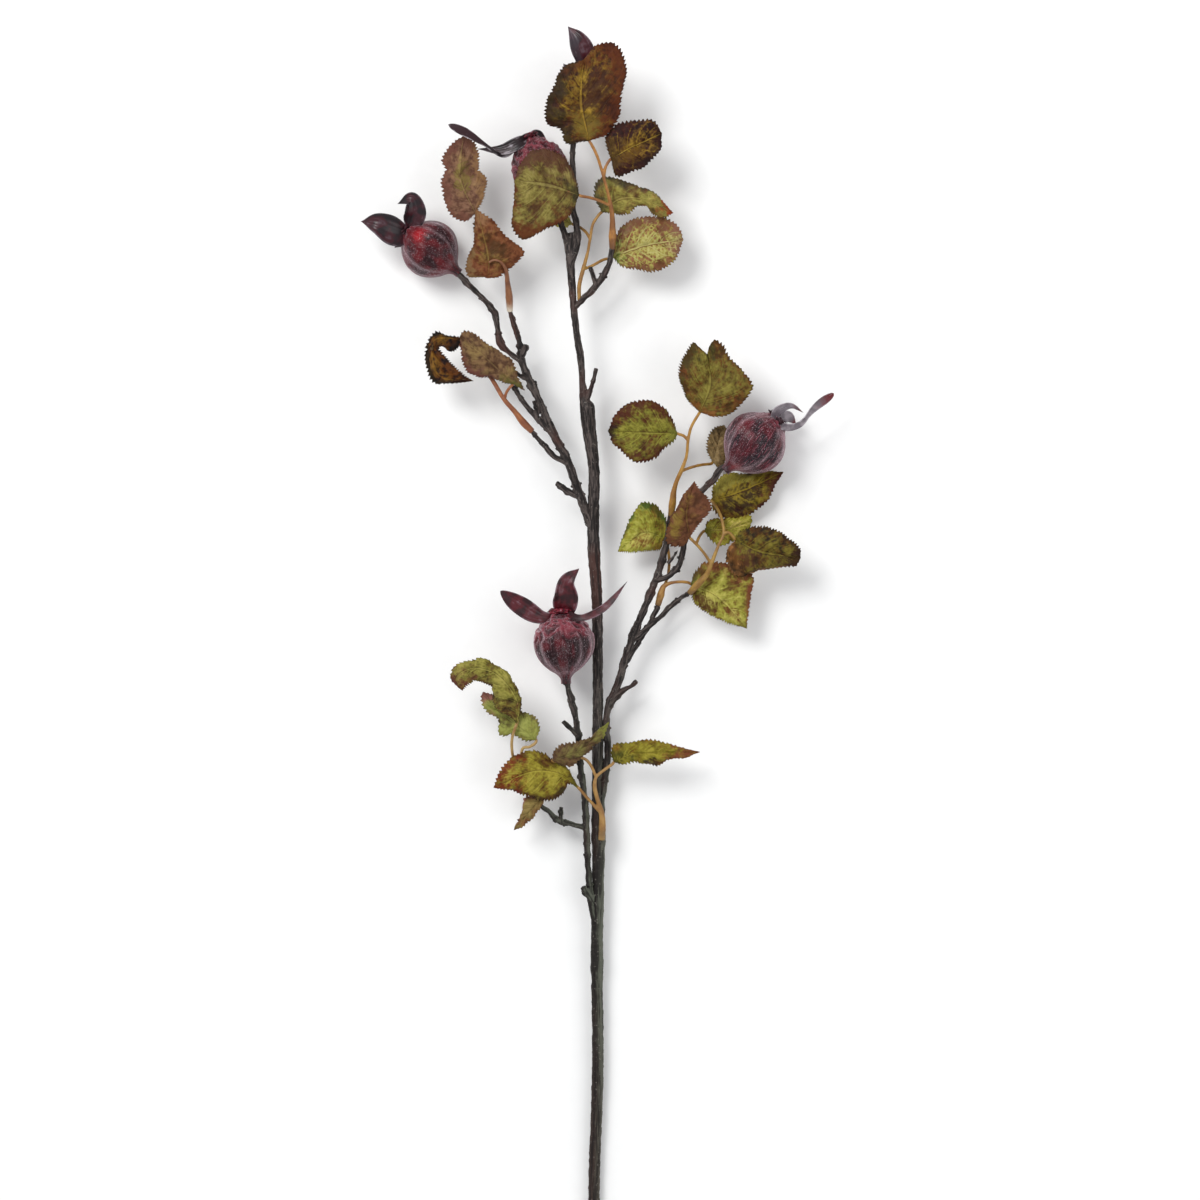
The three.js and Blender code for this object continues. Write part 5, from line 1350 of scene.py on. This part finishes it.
# %% Sepal finish
# For each calyx: two tones of the lacquer; the grey where the brush has passed, which is also
# painted sheen on the streaks and rims and, pale on calyces 2 and 5, painted highlights; and the
# collar's `crown` paint. A `left` is the tone of the left halves and its strength, a `tip` a tone
# and the share of the sepal where it starts.
SEPAL_LOOKS = {
    1: {"tones": ("#270d13", "#42101a"), "grey": "#7a6c74", "left": ("#423a41", 0.7), "crown": "#3b0d17"},
    2: {"tones": ("#12090d", "#200a10"), "grey": "#cbc2c8", "tip": ("#290c13", 0.55), "crown": "#5a1420"},
    3: {"tones": ("#1b1015", "#391119"), "grey": "#625a62", "crown": "#38101a"},
    4: {"tones": ("#29080e", "#4e0f18"), "grey": "#86707a", "crown": "#741526"},
    5: {"tones": ("#625a60", "#867d82"), "grey": "#c6c0c4", "tip": ("#5a0f18", 0.75), "crown": "#2f151d"},
}


def blade_place(node):
    """Sockets for the UV place, u from 0 to 1, u from -1 to 1, the size of that, and t."""
    uv = node("UVMap", uv_map="blade")
    half_u, along = [node("SeparateXYZ", uv, output=axis) for axis in "XY"]
    side = node("MULTIPLY_ADD", half_u, 2.0, -1.0)
    return uv, half_u, side, node("ABSOLUTE", side), along


def lacquered_sepal(number):
    look = SEPAL_LOOKS[number]
    material, shader, node = new_material(
        f"lacquered_polyethylene_{number}", 0.4, ior=1.51, Specular_IOR_Level=0.3, Coat_Weight=0.2,
        Coat_Roughness=0.25,
    )
    uv, half_u, _, out, along = blade_place(node)
    place = node("TexCoord", output="Object")
    patch = node("TexNoise", Vector=place, Scale=150.0, Detail=3.0)  # 7 mm patches
    brushed = node("Mapping", Vector=uv, Scale=(6, 1.6, 1))
    grooves = node("TexNoise", Vector=brushed, Scale=1.0, Detail=3.0)
    colour = node("blend", node("step", patch, 0.4, 0.6), *look["tones"])
    if "left" in look:
        hue, amount = look["left"]
        half = node("step", node("MULTIPLY_ADD", patch, 0.5, half_u), 0.82, 0.62)
        colour = node("blend", node("MULTIPLY", half, amount), colour, hue)
    if "tip" in look:
        hue, start = look["tip"]
        ragged = node("MULTIPLY_ADD", patch, 0.6, along)
        colour = node("blend", node("step", ragged, start + 0.2, start + 0.45), colour, hue)
    # The grey streaks and rims: frost, partly painted sheen and, on calyces 2 and 5, highlights.
    streaks = node("step", node("MULTIPLY_ADD", patch, 1.6, grooves), 1.42, 1.8)
    colour = node("blend", node("MULTIPLY", streaks, 0.5), colour, look["grey"])
    rim = node("MULTIPLY", node("step", out, 0.86, 1.0), node("step", patch, 0.4, 0.55))
    colour = node("blend", node("MULTIPLY", rim, 0.6), colour, look["grey"])
    paint(shader, colour, grooves, 0.35, 0.0005)
    return material


def crumpled_collar(number):
    """The collar takes the paint of the crown below it, darker between its lumps as painted shade,
    with whitish frost on its lumps.
    """
    material, shader, node = new_material(
        f"frosted_polyethylene_{number}", 0.5, ior=1.51, Specular_IOR_Level=0.25
    )
    lumps = node("TexNoise", Vector=node("TexCoord", output="Object"), Scale=520.0, Detail=3.0)  # 2 mm
    # Painted shade: darker where the lumps are low.
    colour = node("blend", node("step", lumps, 0.36, 0.56), "#260a11", SEPAL_LOOKS[number]["crown"])
    frost = node("MULTIPLY", node("step", lumps, 0.58, 0.7), 0.5)
    paint(shader, node("blend", frost, colour, "#b08a94"), lumps, 0.6, 0.0008)
    return material


# %% Calyx pieces
SEPAL_ROWS = np.linspace(0, 1, 56)
SEPAL_COLUMNS = np.linspace(-1, 1, 21)
COLLAR_SIDES, COLLAR_ROWS = 64, 16
COLLAR_WIDTH = 0.36  # share of the hip's radius
COLLAR_HEIGHT, COLLAR_LIP, GAP = 3.6, 1.4, 0.3  # mm above the crown
COLLAR_RUFFLE, COLLAR_RUFFLES = 0.12, 5
COLLAR_PLACE = (0.2, 0.1)  # the (u, t) pair that all its points share


def collar_part(number):
    """The crumpled collar on the crown of a hip, with what a blade body has."""
    hip = HIPS[number]
    neck, crown = np.array(hip["neck"], float), np.array(hip["crown"], float)
    wide, top = COLLAR_WIDTH * hip["radius"], COLLAR_HEIGHT
    outline = smooth_curve([
        (wide, GAP, 0), (1.15 * wide, COLLAR_LIP, 0), (0.9 * wide, top, 0), (0.3 * wide, top - 1, 0),
    ])[0]
    r, y, _ = outline(np.linspace(0, 1, COLLAR_ROWS)).T
    turn = np.linspace(0, 2 * np.pi, COLLAR_SIDES, endpoint=False)[None]
    r, y = r[:, None], y[:, None] + 0 * turn
    swell = 1 + COLLAR_RUFFLE * np.sin(COLLAR_RUFFLES * turn + 3 * y + number)
    swell += 0.05 * np.sin(13 * turn + 2 * number) * np.sin(np.pi * y / top)
    local = np.stack([r * swell * np.sin(turn), y, r * swell * np.cos(turn)], axis=-1).reshape(-1, 3)
    coarse, fine = noise_at(local, 2.2, number), noise_at(local, 1.1, number)
    local = local + 0.5 * coarse[:, None] + 0.25 * fine[:, None]
    local = np.vstack([local, [[0, GAP, 0], [0, top - 1, 0]]])
    faces = turned_faces(COLLAR_ROWS, COLLAR_SIDES)
    pairs, lifts = np.full((len(local), 2), COLLAR_PLACE), np.zeros(len(local))
    return stood_up(local, neck, crown, crown), faces, pairs, lifts, [1] * len(faces)


def sepal_part(sepal, number):
    def grooves(t, u, middle):
        wave = 0.3 * np.sin(7 * t + 2.5 * u + number) * np.abs(u)
        return 0.14 * np.cos(5 * np.pi * u) * np.sin(np.pi * t) + wave * np.sin(np.pi * t)

    thick = lambda t, u: SEPAL_THICKNESS * (1 - 0.55 * u**2) * (1 - 0.4 * t)
    return blade_body(sepal_surface(sepal), SEPAL_ROWS, SEPAL_COLUMNS, thick, grooves)


for number, sepals in SEPALS.items():
    parts = [collar_part(number), *(sepal_part(sepal, place) for place, sepal in enumerate(sepals))]
    points, faces = joined([part[:2] for part in parts])
    under = parts[0][4] + [0] * (len(faces) - len(parts[0][4]))
    pairs, lifts = [np.concatenate([part[k] for part in parts]) for k in (2, 3)]
    mesh = blade_mesh(points, faces, pairs, lifts, under)
    make_piece(f"calyx_{number}", mesh, [lacquered_sepal(number), crumpled_collar(number)])
    print("it has", len(sepals), "sepals")

# %% [markdown]
# ## Leaves
# The leaves are stamped from polyester satin, stiffened, and pressed in a mould that gives them a
# midrib, side veins and puckers between the veins. The margin is cut with fine teeth. Each leaf
# hangs on its rib and two margins, so folds and rolled edges are in the points themselves. Teeth,
# veins and puckers are formulas over the blade.

# %% Leaf measures
LEAF_THICKNESS = 0.55
TOOTH_SPACING = 2.7
TOOTH_DEPTH = 1.35
TOOTH_SPREAD = 0.5  # teeth are cut up to this share deeper or shallower
TOOTH_LEAN = 0.75  # share of a tooth's foot at which its point stands
MARGIN_WAVE = 0.8
SIDE_VEINS = 6.0  # side veins on each half
VEIN_SLANT = 0.34  # how far a side vein runs forward on its way to the margin
PUCKER_LIFT, MIDRIB_DEPTH = 0.9, 0.5
CRUMPLE_LIFT, CRUMPLE_SIZE = 2.1, 9
RIPPLE_LIFT, RIPPLE_SIZE = 0.9, 3.5

# %% Leaf surface
def leaf_surface(leaf):
    rib, base, tip = leaf["rib"], leaf["rib"][0], leaf["rib"][-1]
    middle, length, _ = smooth_curve(rib)
    left, left_length, _ = smooth_curve([base, *leaf["left"], tip])
    right, right_length, _ = smooth_curve([base, *leaf["right"], tip])
    puff = leaf.get("puff", 0)

    def surface(t, u):
        out = np.abs(u)
        spine = middle(t)
        across = np.where((u < 0)[..., None], left(t), right(t)) - spine
        forward = unit(middle(np.clip(t + 0.005, 0, 1)) - middle(np.clip(t - 0.005, 0, 1)))
        facing = unit(np.cross(across, forward)) * np.sign(u)[..., None]
        arch = puff * np.sin(np.pi * t) * np.sin(np.pi * out)
        ripple = MARGIN_WAVE * np.sin(np.pi * t) * out**2 * np.sin(4 * np.pi * t + base[0] + u)
        return spine + across * out[..., None] + facing * (arch + ripple)[..., None]

    return surface, length, max(left_length, right_length)


def tooth(phase):
    """A leaf tooth leans to the tip: a slow rise, then a quick fall. 0 in the notch, 1 at the point."""
    rise = phase % 1
    return np.where(rise < TOOTH_LEAN, rise / TOOTH_LEAN, (1 - rise) / (1 - TOOTH_LEAN))


# %% [markdown]
# The print on the satin is several inks dabbed on wet: a dark one between the veins, a light one
# that spreads from the midrib, a glow on the veins themselves, and brown or red stains at the
# margins. Over the print, the hollows of the cloth are painted darker as shade and its raised
# parts lighter as painted light. It gives the eye a soft, marbled leaf, matt with a faint sheen.
# A scanned leaf would be the quick way. Here each leaf mixes its own inks by noise, by the lift of
# its cloth and by a formula for its veins, so the painted light and shade follow the relief and no
# two leaves are alike.

# %% Leaf inks
# Each leaf's print. Its inks are the light one of the blade's middle, the glow of the veins, and the
# deep and the mid one between them. `share` is how far the light ink spreads, and `veins` how clearly
# the veins are printed. A margin entry is a colour and how far it reaches in. A spot is a place
# (t, u), a size and a colour. The colours were first chosen by eye. A helper program that isn't part
# of this file then scaled most of them, leaf by leaf, until the light and dark tones were right.
LEAF_LOOKS = {
    "leaf_01": {
        "inks": ("#81671e", "#a9862d", "#2b0e06", "#592e0a"), "share": -0.15, "veins": 0.32,
        "left": ("#271e07", 0.6), "right": ("#56270d", 0.45), "tip": ("#5b310b", 0.35),
        "spots": [(0.2, 0.0, 0.45, "#735f21"), (0.5, 0.32, 0.45, "#3b1f0c")],
    },
    "leaf_02": {
        "inks": ("#80621e", "#997e2c", "#1e0906", "#371209"), "share": -0.5, "veins": 0.5,
        "foot": ("#46310e", 0.55), "right": ("#2a0d08", 0.45), "spots": [(0.4, 0.15, 0.4, "#5b3e08")],
    },
    "leaf_03": {
        "inks": ("#8e873e", "#a79851", "#50391c", "#75502a"), "share": 0.3, "veins": 0.35,
        "left": ("#323225", 0.4), "tip": ("#92341a", 0.45), "foot": ("#4a4629", 0.3),
    },
    "leaf_04": {
        "inks": ("#a09a4c", "#b4ab6a", "#653f23", "#8b593e"), "share": -0.3, "veins": 0.95,
        "left": ("#765140", 0.4), "tip": ("#7d5542", 0.55), "right": ("#704b32", 0.3),
        "foot": ("#6d7e36", 0.35),
    },
    "leaf_05": {
        "inks": ("#7c7234", "#93854a", "#402912", "#5b3a1c"), "share": 0.3, "veins": 0.3,
        "right": ("#4e2d1e", 0.6), "left": ("#58230c", 0.4), "foot": ("#2d2e17", 0.35),
    },
    "leaf_06": {
        "inks": ("#896a46", "#95844b", "#563729", "#7b5944"), "share": -0.2, "veins": 0.12,
        "left": ("#694133", 0.45), "right": ("#805f3b", 0.4), "tip": ("#633c30", 0.4),
        "spots": [(0.5, 0.08, 0.3, "#796933")],
    },
    "leaf_07": {
        "inks": ("#7e6731", "#967c3e", "#562b13", "#734326"), "share": -0.2, "veins": 0.2,
        "left": ("#705736", 0.35), "tip": ("#8c6746", 0.4), "spots": [(0.45, 0.2, 0.4, "#422b0f")],
    },
    "leaf_08": {
        "inks": ("#795518", "#8a641f", "#180706", "#5a310b"), "share": -0.2, "veins": 0.15,
        "right": ("#141206", 0.6), "tip": ("#371906", 0.3), "foot": ("#0a0706", 0.4),
    },
    "leaf_09": {
        "inks": ("#836d3f", "#937a4a", "#4b3220", "#73563a"), "share": -0.1, "veins": 0.08,
        "left": ("#5d332d", 0.35), "foot": ("#575425", 0.35),
    },
    "leaf_10": {
        "inks": ("#726a28", "#8a7f38", "#3f2907", "#653612"), "share": 0.15, "veins": 0.35,
        "tip": ("#302d0d", 0.3), "left": ("#3c3610", 0.3), "foot": ("#7b4c20", 0.3),
    },
    "leaf_11": {
        "inks": ("#777527", "#938c38", "#381906", "#603711"), "share": 0.2, "veins": 0.4,
        "right": ("#440d06", 0.5), "left": ("#45120b", 0.4), "tip": ("#140706", 0.2),
        "foot": ("#666723", 0.35),
    },
    "leaf_12": {
        "inks": ("#937b50", "#a78f65", "#42361f", "#604c2f"), "share": 0.3, "veins": 0.35,
    },
    "leaf_13": {
        "inks": ("#746618", "#8f7a23", "#3a1306", "#5e310b"), "share": 0.2, "veins": 0.35,
        "tip": ("#471712", 0.6), "foot": ("#5f4a10", 0.3), "spots": [(0.42, 0.3, 0.55, "#1d0706")],
        "left": ("#9c9240", 0.75),
    },
    "leaf_14": {
        "inks": ("#866c2c", "#917434", "#482915", "#663f26"), "share": -0.3, "veins": 0.12,
        "right": ("#6c412c", 0.5), "spots": [(0.42, -0.5, 0.28, "#81692b")], "tip": ("#663b28", 0.45),
    },
    "leaf_15": {
        "inks": ("#959633", "#bbb45c", "#5e4e16", "#896728"), "share": 0.4, "veins": 0.35,
        "right": ("#334e1d", 0.3), "spots": [(0.5, -0.3, 0.45, "#754922")],
    },
    "leaf_16": {
        "inks": ("#949330", "#c4ad60", "#5b4110", "#7e5c20"), "share": 0.3, "veins": 0.4,
        "foot": ("#5d5e1a", 0.3),
    },
    "leaf_17": {
        "inks": ("#6e641f", "#89792c", "#221606", "#512e08"), "share": 0.1, "veins": 0.25,
        "right": ("#9b6a3b", 0.25), "tip": ("#2d0e06", 0.45),
        "spots": [(0.35, 0.35, 0.3, "#4c2d18"), (0.22, 0.55, 0.22, "#69431e")],
    },
    "leaf_18": {
        "inks": ("#929136", "#b8af59", "#4e2b0d", "#7c6224"), "share": 0.4, "veins": 0.35,
        "left": ("#733a25", 0.3), "foot": ("#404517", 0.3),
        "spots": [(0.35, 0.6, 0.4, "#44190b"), (0.75, 0.1, 0.3, "#5e2210")],
    },
    "leaf_19": {
        "inks": ("#878236", "#9f954a", "#33240a", "#593a17"), "share": 0.25, "veins": 0.35,
        "tip": ("#5c2a24", 0.45),
    },
    "leaf_20": {
        "inks": ("#898e42", "#9c9e53", "#564e29", "#786533"), "share": 0.4, "veins": 0.25,
        "tip": ("#985e5a", 0.45),
    },
    "leaf_21": {
        "inks": ("#877d24", "#a29538", "#412006", "#6c4411"), "share": 0.35, "veins": 0.35,
        "tip": ("#661806", 0.6), "foot": ("#32330b", 0.3), "left": ("#2b1706", 0.3),
    },
    "leaf_22": {
        "inks": ("#82723e", "#907c48", "#69452b", "#835b34"), "share": 0.3, "veins": 0.15,
        "right": ("#8d524b", 0.35),
    },
    "leaf_23": {
        "inks": ("#747136", "#807c3f", "#47321f", "#62482f"), "share": 0.0, "veins": 0.1,
        "tip": ("#7d8036", 0.5),
    },
    "leaf_24": {
        "inks": ("#817a20", "#9d9133", "#4c2f0a", "#744814"), "share": 0.4, "veins": 0.3,
        "foot": ("#3d3d0d", 0.4), "tip": ("#743626", 0.65), "spots": [(0.45, 0.7, 0.25, "#210c07")],
    },
    "leaf_25": {
        "inks": ("#c4bb62", "#d0c46e", "#a09249", "#b0a256"), "share": 0.55, "veins": 0.3,
    },
}


# %% Vein patterns
def vein_line(node, out, along, wander):
    """1 on the midrib and on the side veins, 0 between them, and the side veins' own coordinate."""
    slant = node("MULTIPLY_ADD", out, -VEIN_SLANT, along)
    slant = node("MULTIPLY_ADD", wander, 0.05, slant)
    gap = node("PINGPONG", node("MULTIPLY", slant, SIDE_VEINS), 0.5)
    side_vein = node("MULTIPLY", node("step", gap, 0.085, 0.02), node("step", out, 1.0, 0.45))
    return node("MAXIMUM", side_vein, node("step", out, 0.05, 0.02)), slant


def net_of(node, place, scale, width):
    """Thin lines between cells, 1 on a line. The scale is cells a metre."""
    wobble = node("TexNoise", Vector=place, Scale=0.8 * scale, output="Color")
    bent = node("VectorMath", wobble, (0.5 / scale,) * 3, place, operation="MULTIPLY_ADD")
    cells = node("TexVoronoi", feature="DISTANCE_TO_EDGE", Vector=bent, Scale=scale)
    return node("step", cells, width, 0.2 * width)


# %% Leaf finish
def printed_satin(name):
    look = LEAF_LOOKS[name]
    light, glow, deep, mid = look["inks"]
    material, shader, node = new_material("printed_satin_" + name, 0.6, ior=1.46, Specular_IOR_Level=0.2)
    _, _, side, out, along = blade_place(node)
    place = node("TexCoord", output="Object")
    cloud = node("TexNoise", Vector=place, Scale=95.0, Detail=2.0)  # 10 mm clouds
    fade = node("TexNoise", Vector=place, Scale=140.0, Detail=2.0)  # 7 mm clouds
    mottle = node("TexNoise", Vector=place, Scale=320.0, Detail=3.0)  # 3 mm mottling
    fleck = node("TexNoise", Vector=place, Scale=800.0, Detail=2.0)  # 1 mm flecks
    weave = node("TexNoise", Vector=place, Scale=1500.0, Detail=1.0)  # coarser than real threads
    veins, slant = vein_line(node, out, along, node("SUBTRACT", cloud, 0.5))
    run = node("CombineXYZ", X=node("MULTIPLY", slant, 26.0), Y=node("MULTIPLY", side, 2.2))
    streak = node("TexNoise", Vector=run, Scale=1.0, Detail=3.0)
    lift = node("Attribute", attribute_name="lift", output="Fac")
    swing = lambda texture, size: node("MULTIPLY_ADD", texture, size, -size / 2)

    # How much light ink there is: more by the midrib, on raised cloth as painted light, and on the
    # net of veins.
    level = node("MULTIPLY_ADD", out, -0.6, look["share"])
    level = node("ADD", level, swing(cloud, 2.2))
    level = node("ADD", level, swing(streak, 1.0))
    # Painted light: raised cloth takes more light ink.
    level = node("MULTIPLY_ADD", lift, 0.3, level)
    level = node("ADD", level, swing(mottle, 1.2))
    level = node("ADD", level, swing(fleck, 0.5))
    net = node("MULTIPLY", net_of(node, place, 210.0, 0.2), 0.5)  # 5 mm cells
    net = node("MULTIPLY_ADD", net_of(node, place, 430.0, 0.3), 0.45, net)  # 2 mm cells
    net = node("MULTIPLY_ADD", veins, 0.8, net)
    ink = node("MULTIPLY_ADD", net, look["veins"] / 0.6, level)
    colour = node("blend", node("step", mottle, 0.34, 0.62), deep, mid)
    colour = node("blend", node("MULTIPLY", node("step", ink, -0.35, 0.95), 0.9), colour, light)

    # The stained margins and spots, with ragged edges.
    rims = {
        "left": node("MULTIPLY", side, -1.0),
        "right": side,
        "tip": node("MULTIPLY_ADD", along, 2.0, -1.0),
        "foot": node("MULTIPLY_ADD", along, -2.0, 1.0),
    }
    for key, reach in rims.items():
        if key in look:
            hue, amount = look[key]
            ragged = node("ADD", node("ADD", reach, swing(fade, 1.6)), swing(mottle, 0.7))
            share = node("MULTIPLY", node("step", ragged, 0.85 - amount, 1.3 - amount), 0.85)
            colour = node("blend", share, colour, hue)
    for spot_t, spot_u, size, hue in look.get("spots", []):
        here = node("CombineXYZ", X=side, Y=node("MULTIPLY", along, 2.0))
        away = node("VectorMath", here, (spot_u, 2 * spot_t, 0), operation="DISTANCE", output="Value")
        ragged = node("ADD", node("ADD", away, swing(mottle, 0.9)), swing(streak, 0.5))
        share = node("MULTIPLY", node("step", ragged, size * 1.3, size * 0.5), 0.8)
        colour = node("blend", share, colour, hue)

    # Dark streaks, the cloth's hollows darkened as painted shade, glowing veins, and the midrib with
    # its two dark edges.
    clear = 0.2 + 0.7 * look["veins"]
    beside = node("step", node("ABSOLUTE", node("SUBTRACT", side, 0.045)), 0.035, 0.01)
    midrib = node("step", out, 0.04, 0.015)
    for share, amount, hue in (
        (node("step", streak, 0.44, 0.3), 0.5, deep),
        (node("step", ink, 0.55, 1.6), 0.8, glow),
        # painted shade: darker in the hollows of the cloth
        (node("step", lift, 0.2, -1.1), 0.7, deep),
        (beside, clear, deep),
        (midrib, clear, glow),
        (node("step", out, 0.93, 1.0), 0.5, deep),
    ):
        colour = node("blend", node("MULTIPLY", share, amount), colour, hue)
    height = node("MULTIPLY_ADD", weave, 0.25, node("MULTIPLY_ADD", veins, 0.4, streak))
    paint(shader, colour, node("MULTIPLY_ADD", mottle, 1.6, height), 0.8, 0.0009)
    return material


# %% [markdown]
# The underside of printed satin is paler and greyer, because the ink only soaks partly through. All
# leaves share one underside material, and the object's own places make each a little different.

# %% Leaf underside
back, shader, node = new_material("satin_underside", 0.7, ior=1.46, Specular_IOR_Level=0.2)
_, _, _, out, along = blade_place(node)
cloud = node("TexNoise", Vector=node("TexCoord", output="Object"), Scale=120.0, Detail=4.0)  # 8 mm
veins, _ = vein_line(node, out, along, node("SUBTRACT", cloud, 0.5))
colour = node("blend", node("step", cloud, 0.38, 0.64), "#5c4c38", "#7b5a43")
paint(shader, node("blend", node("MULTIPLY", veins, 0.5), colour, "#96845e"), veins, 0.5, 0.0004)

# %% Leaf pieces
TOOTH_STEPS = np.array([0, 0.25, 0.5, 0.75])
HALF_COLUMNS = np.array([0, 0.035, 0.1, 0.2, 0.3, 0.4, 0.5, 0.6, 0.7, 0.79, 0.87, 0.94, 1])
LEAF_COLUMNS = np.concatenate([-HALF_COLUMNS[:0:-1], HALF_COLUMNS])
NOTCH_MIDDLE = 0.37  # where a tooth's own notch depth takes over from the last one's


def leaf_piece(name, leaf):
    surface, length, margin_length = leaf_surface(leaf)
    teeth = max(8, round(margin_length / TOOTH_SPACING))
    t = np.concatenate([(k + TOOTH_STEPS) / teeth for k in range(teeth)] + [[1.0]])
    seed = sum(map(ord, name))
    uneven = 1 + TOOTH_SPREAD * np.random.default_rng(seed).uniform(-1, 1, (2, teeth + 1))

    def cut_margin(t_grid, u_grid):
        width = np.linalg.norm(surface(t_grid, np.sign(u_grid)) - surface(t_grid, 0 * u_grid), axis=-1)
        number = np.round(t_grid * teeth - NOTCH_MIDDLE).astype(int)
        depth = TOOTH_DEPTH * uneven[(u_grid > 0).astype(int), number]
        notch = depth / np.maximum(width, 2.4 * depth) * (1 - tooth(t_grid * teeth))
        return t_grid, u_grid * (1 - notch * np.abs(u_grid) ** 4)

    def relief(t_grid, u_grid, middle):
        out = np.abs(u_grid)
        fade = np.sin(np.pi * t_grid) ** 0.5
        phase = SIDE_VEINS * (t_grid - VEIN_SLANT * out)
        pucker = np.abs(np.sin(np.pi * phase)) ** 0.7 * (1 - out**3)
        groove = np.exp(-((out / 0.06) ** 2))
        crumple = noise_at(middle.reshape(-1, 3), CRUMPLE_SIZE, seed % 13).reshape(out.shape)
        ripple = noise_at(middle.reshape(-1, 3), RIPPLE_SIZE, seed % 17).reshape(out.shape)
        raised = PUCKER_LIFT * pucker - MIDRIB_DEPTH * groove
        return fade * (raised + CRUMPLE_LIFT * crumple + RIPPLE_LIFT * ripple)

    thick = lambda t_grid, u_grid: LEAF_THICKNESS * (1 - 0.4 * np.abs(u_grid) ** 3)
    mesh = blade_mesh(*blade_body(surface, t, LEAF_COLUMNS, thick, relief, cut_margin))
    make_piece(name, mesh, [printed_satin(name), back])
    print("it is", round(length), "mm long, with", teeth, "teeth a side")


for name, leaf in LEAVES.items():
    leaf_piece(name, leaf)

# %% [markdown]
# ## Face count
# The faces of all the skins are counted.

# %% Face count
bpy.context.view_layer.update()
faces_in_all = sum(len(piece.data.polygons) for piece in bpy.data.objects if piece.name.endswith("_skin"))
print("faces in all", faces_in_all)
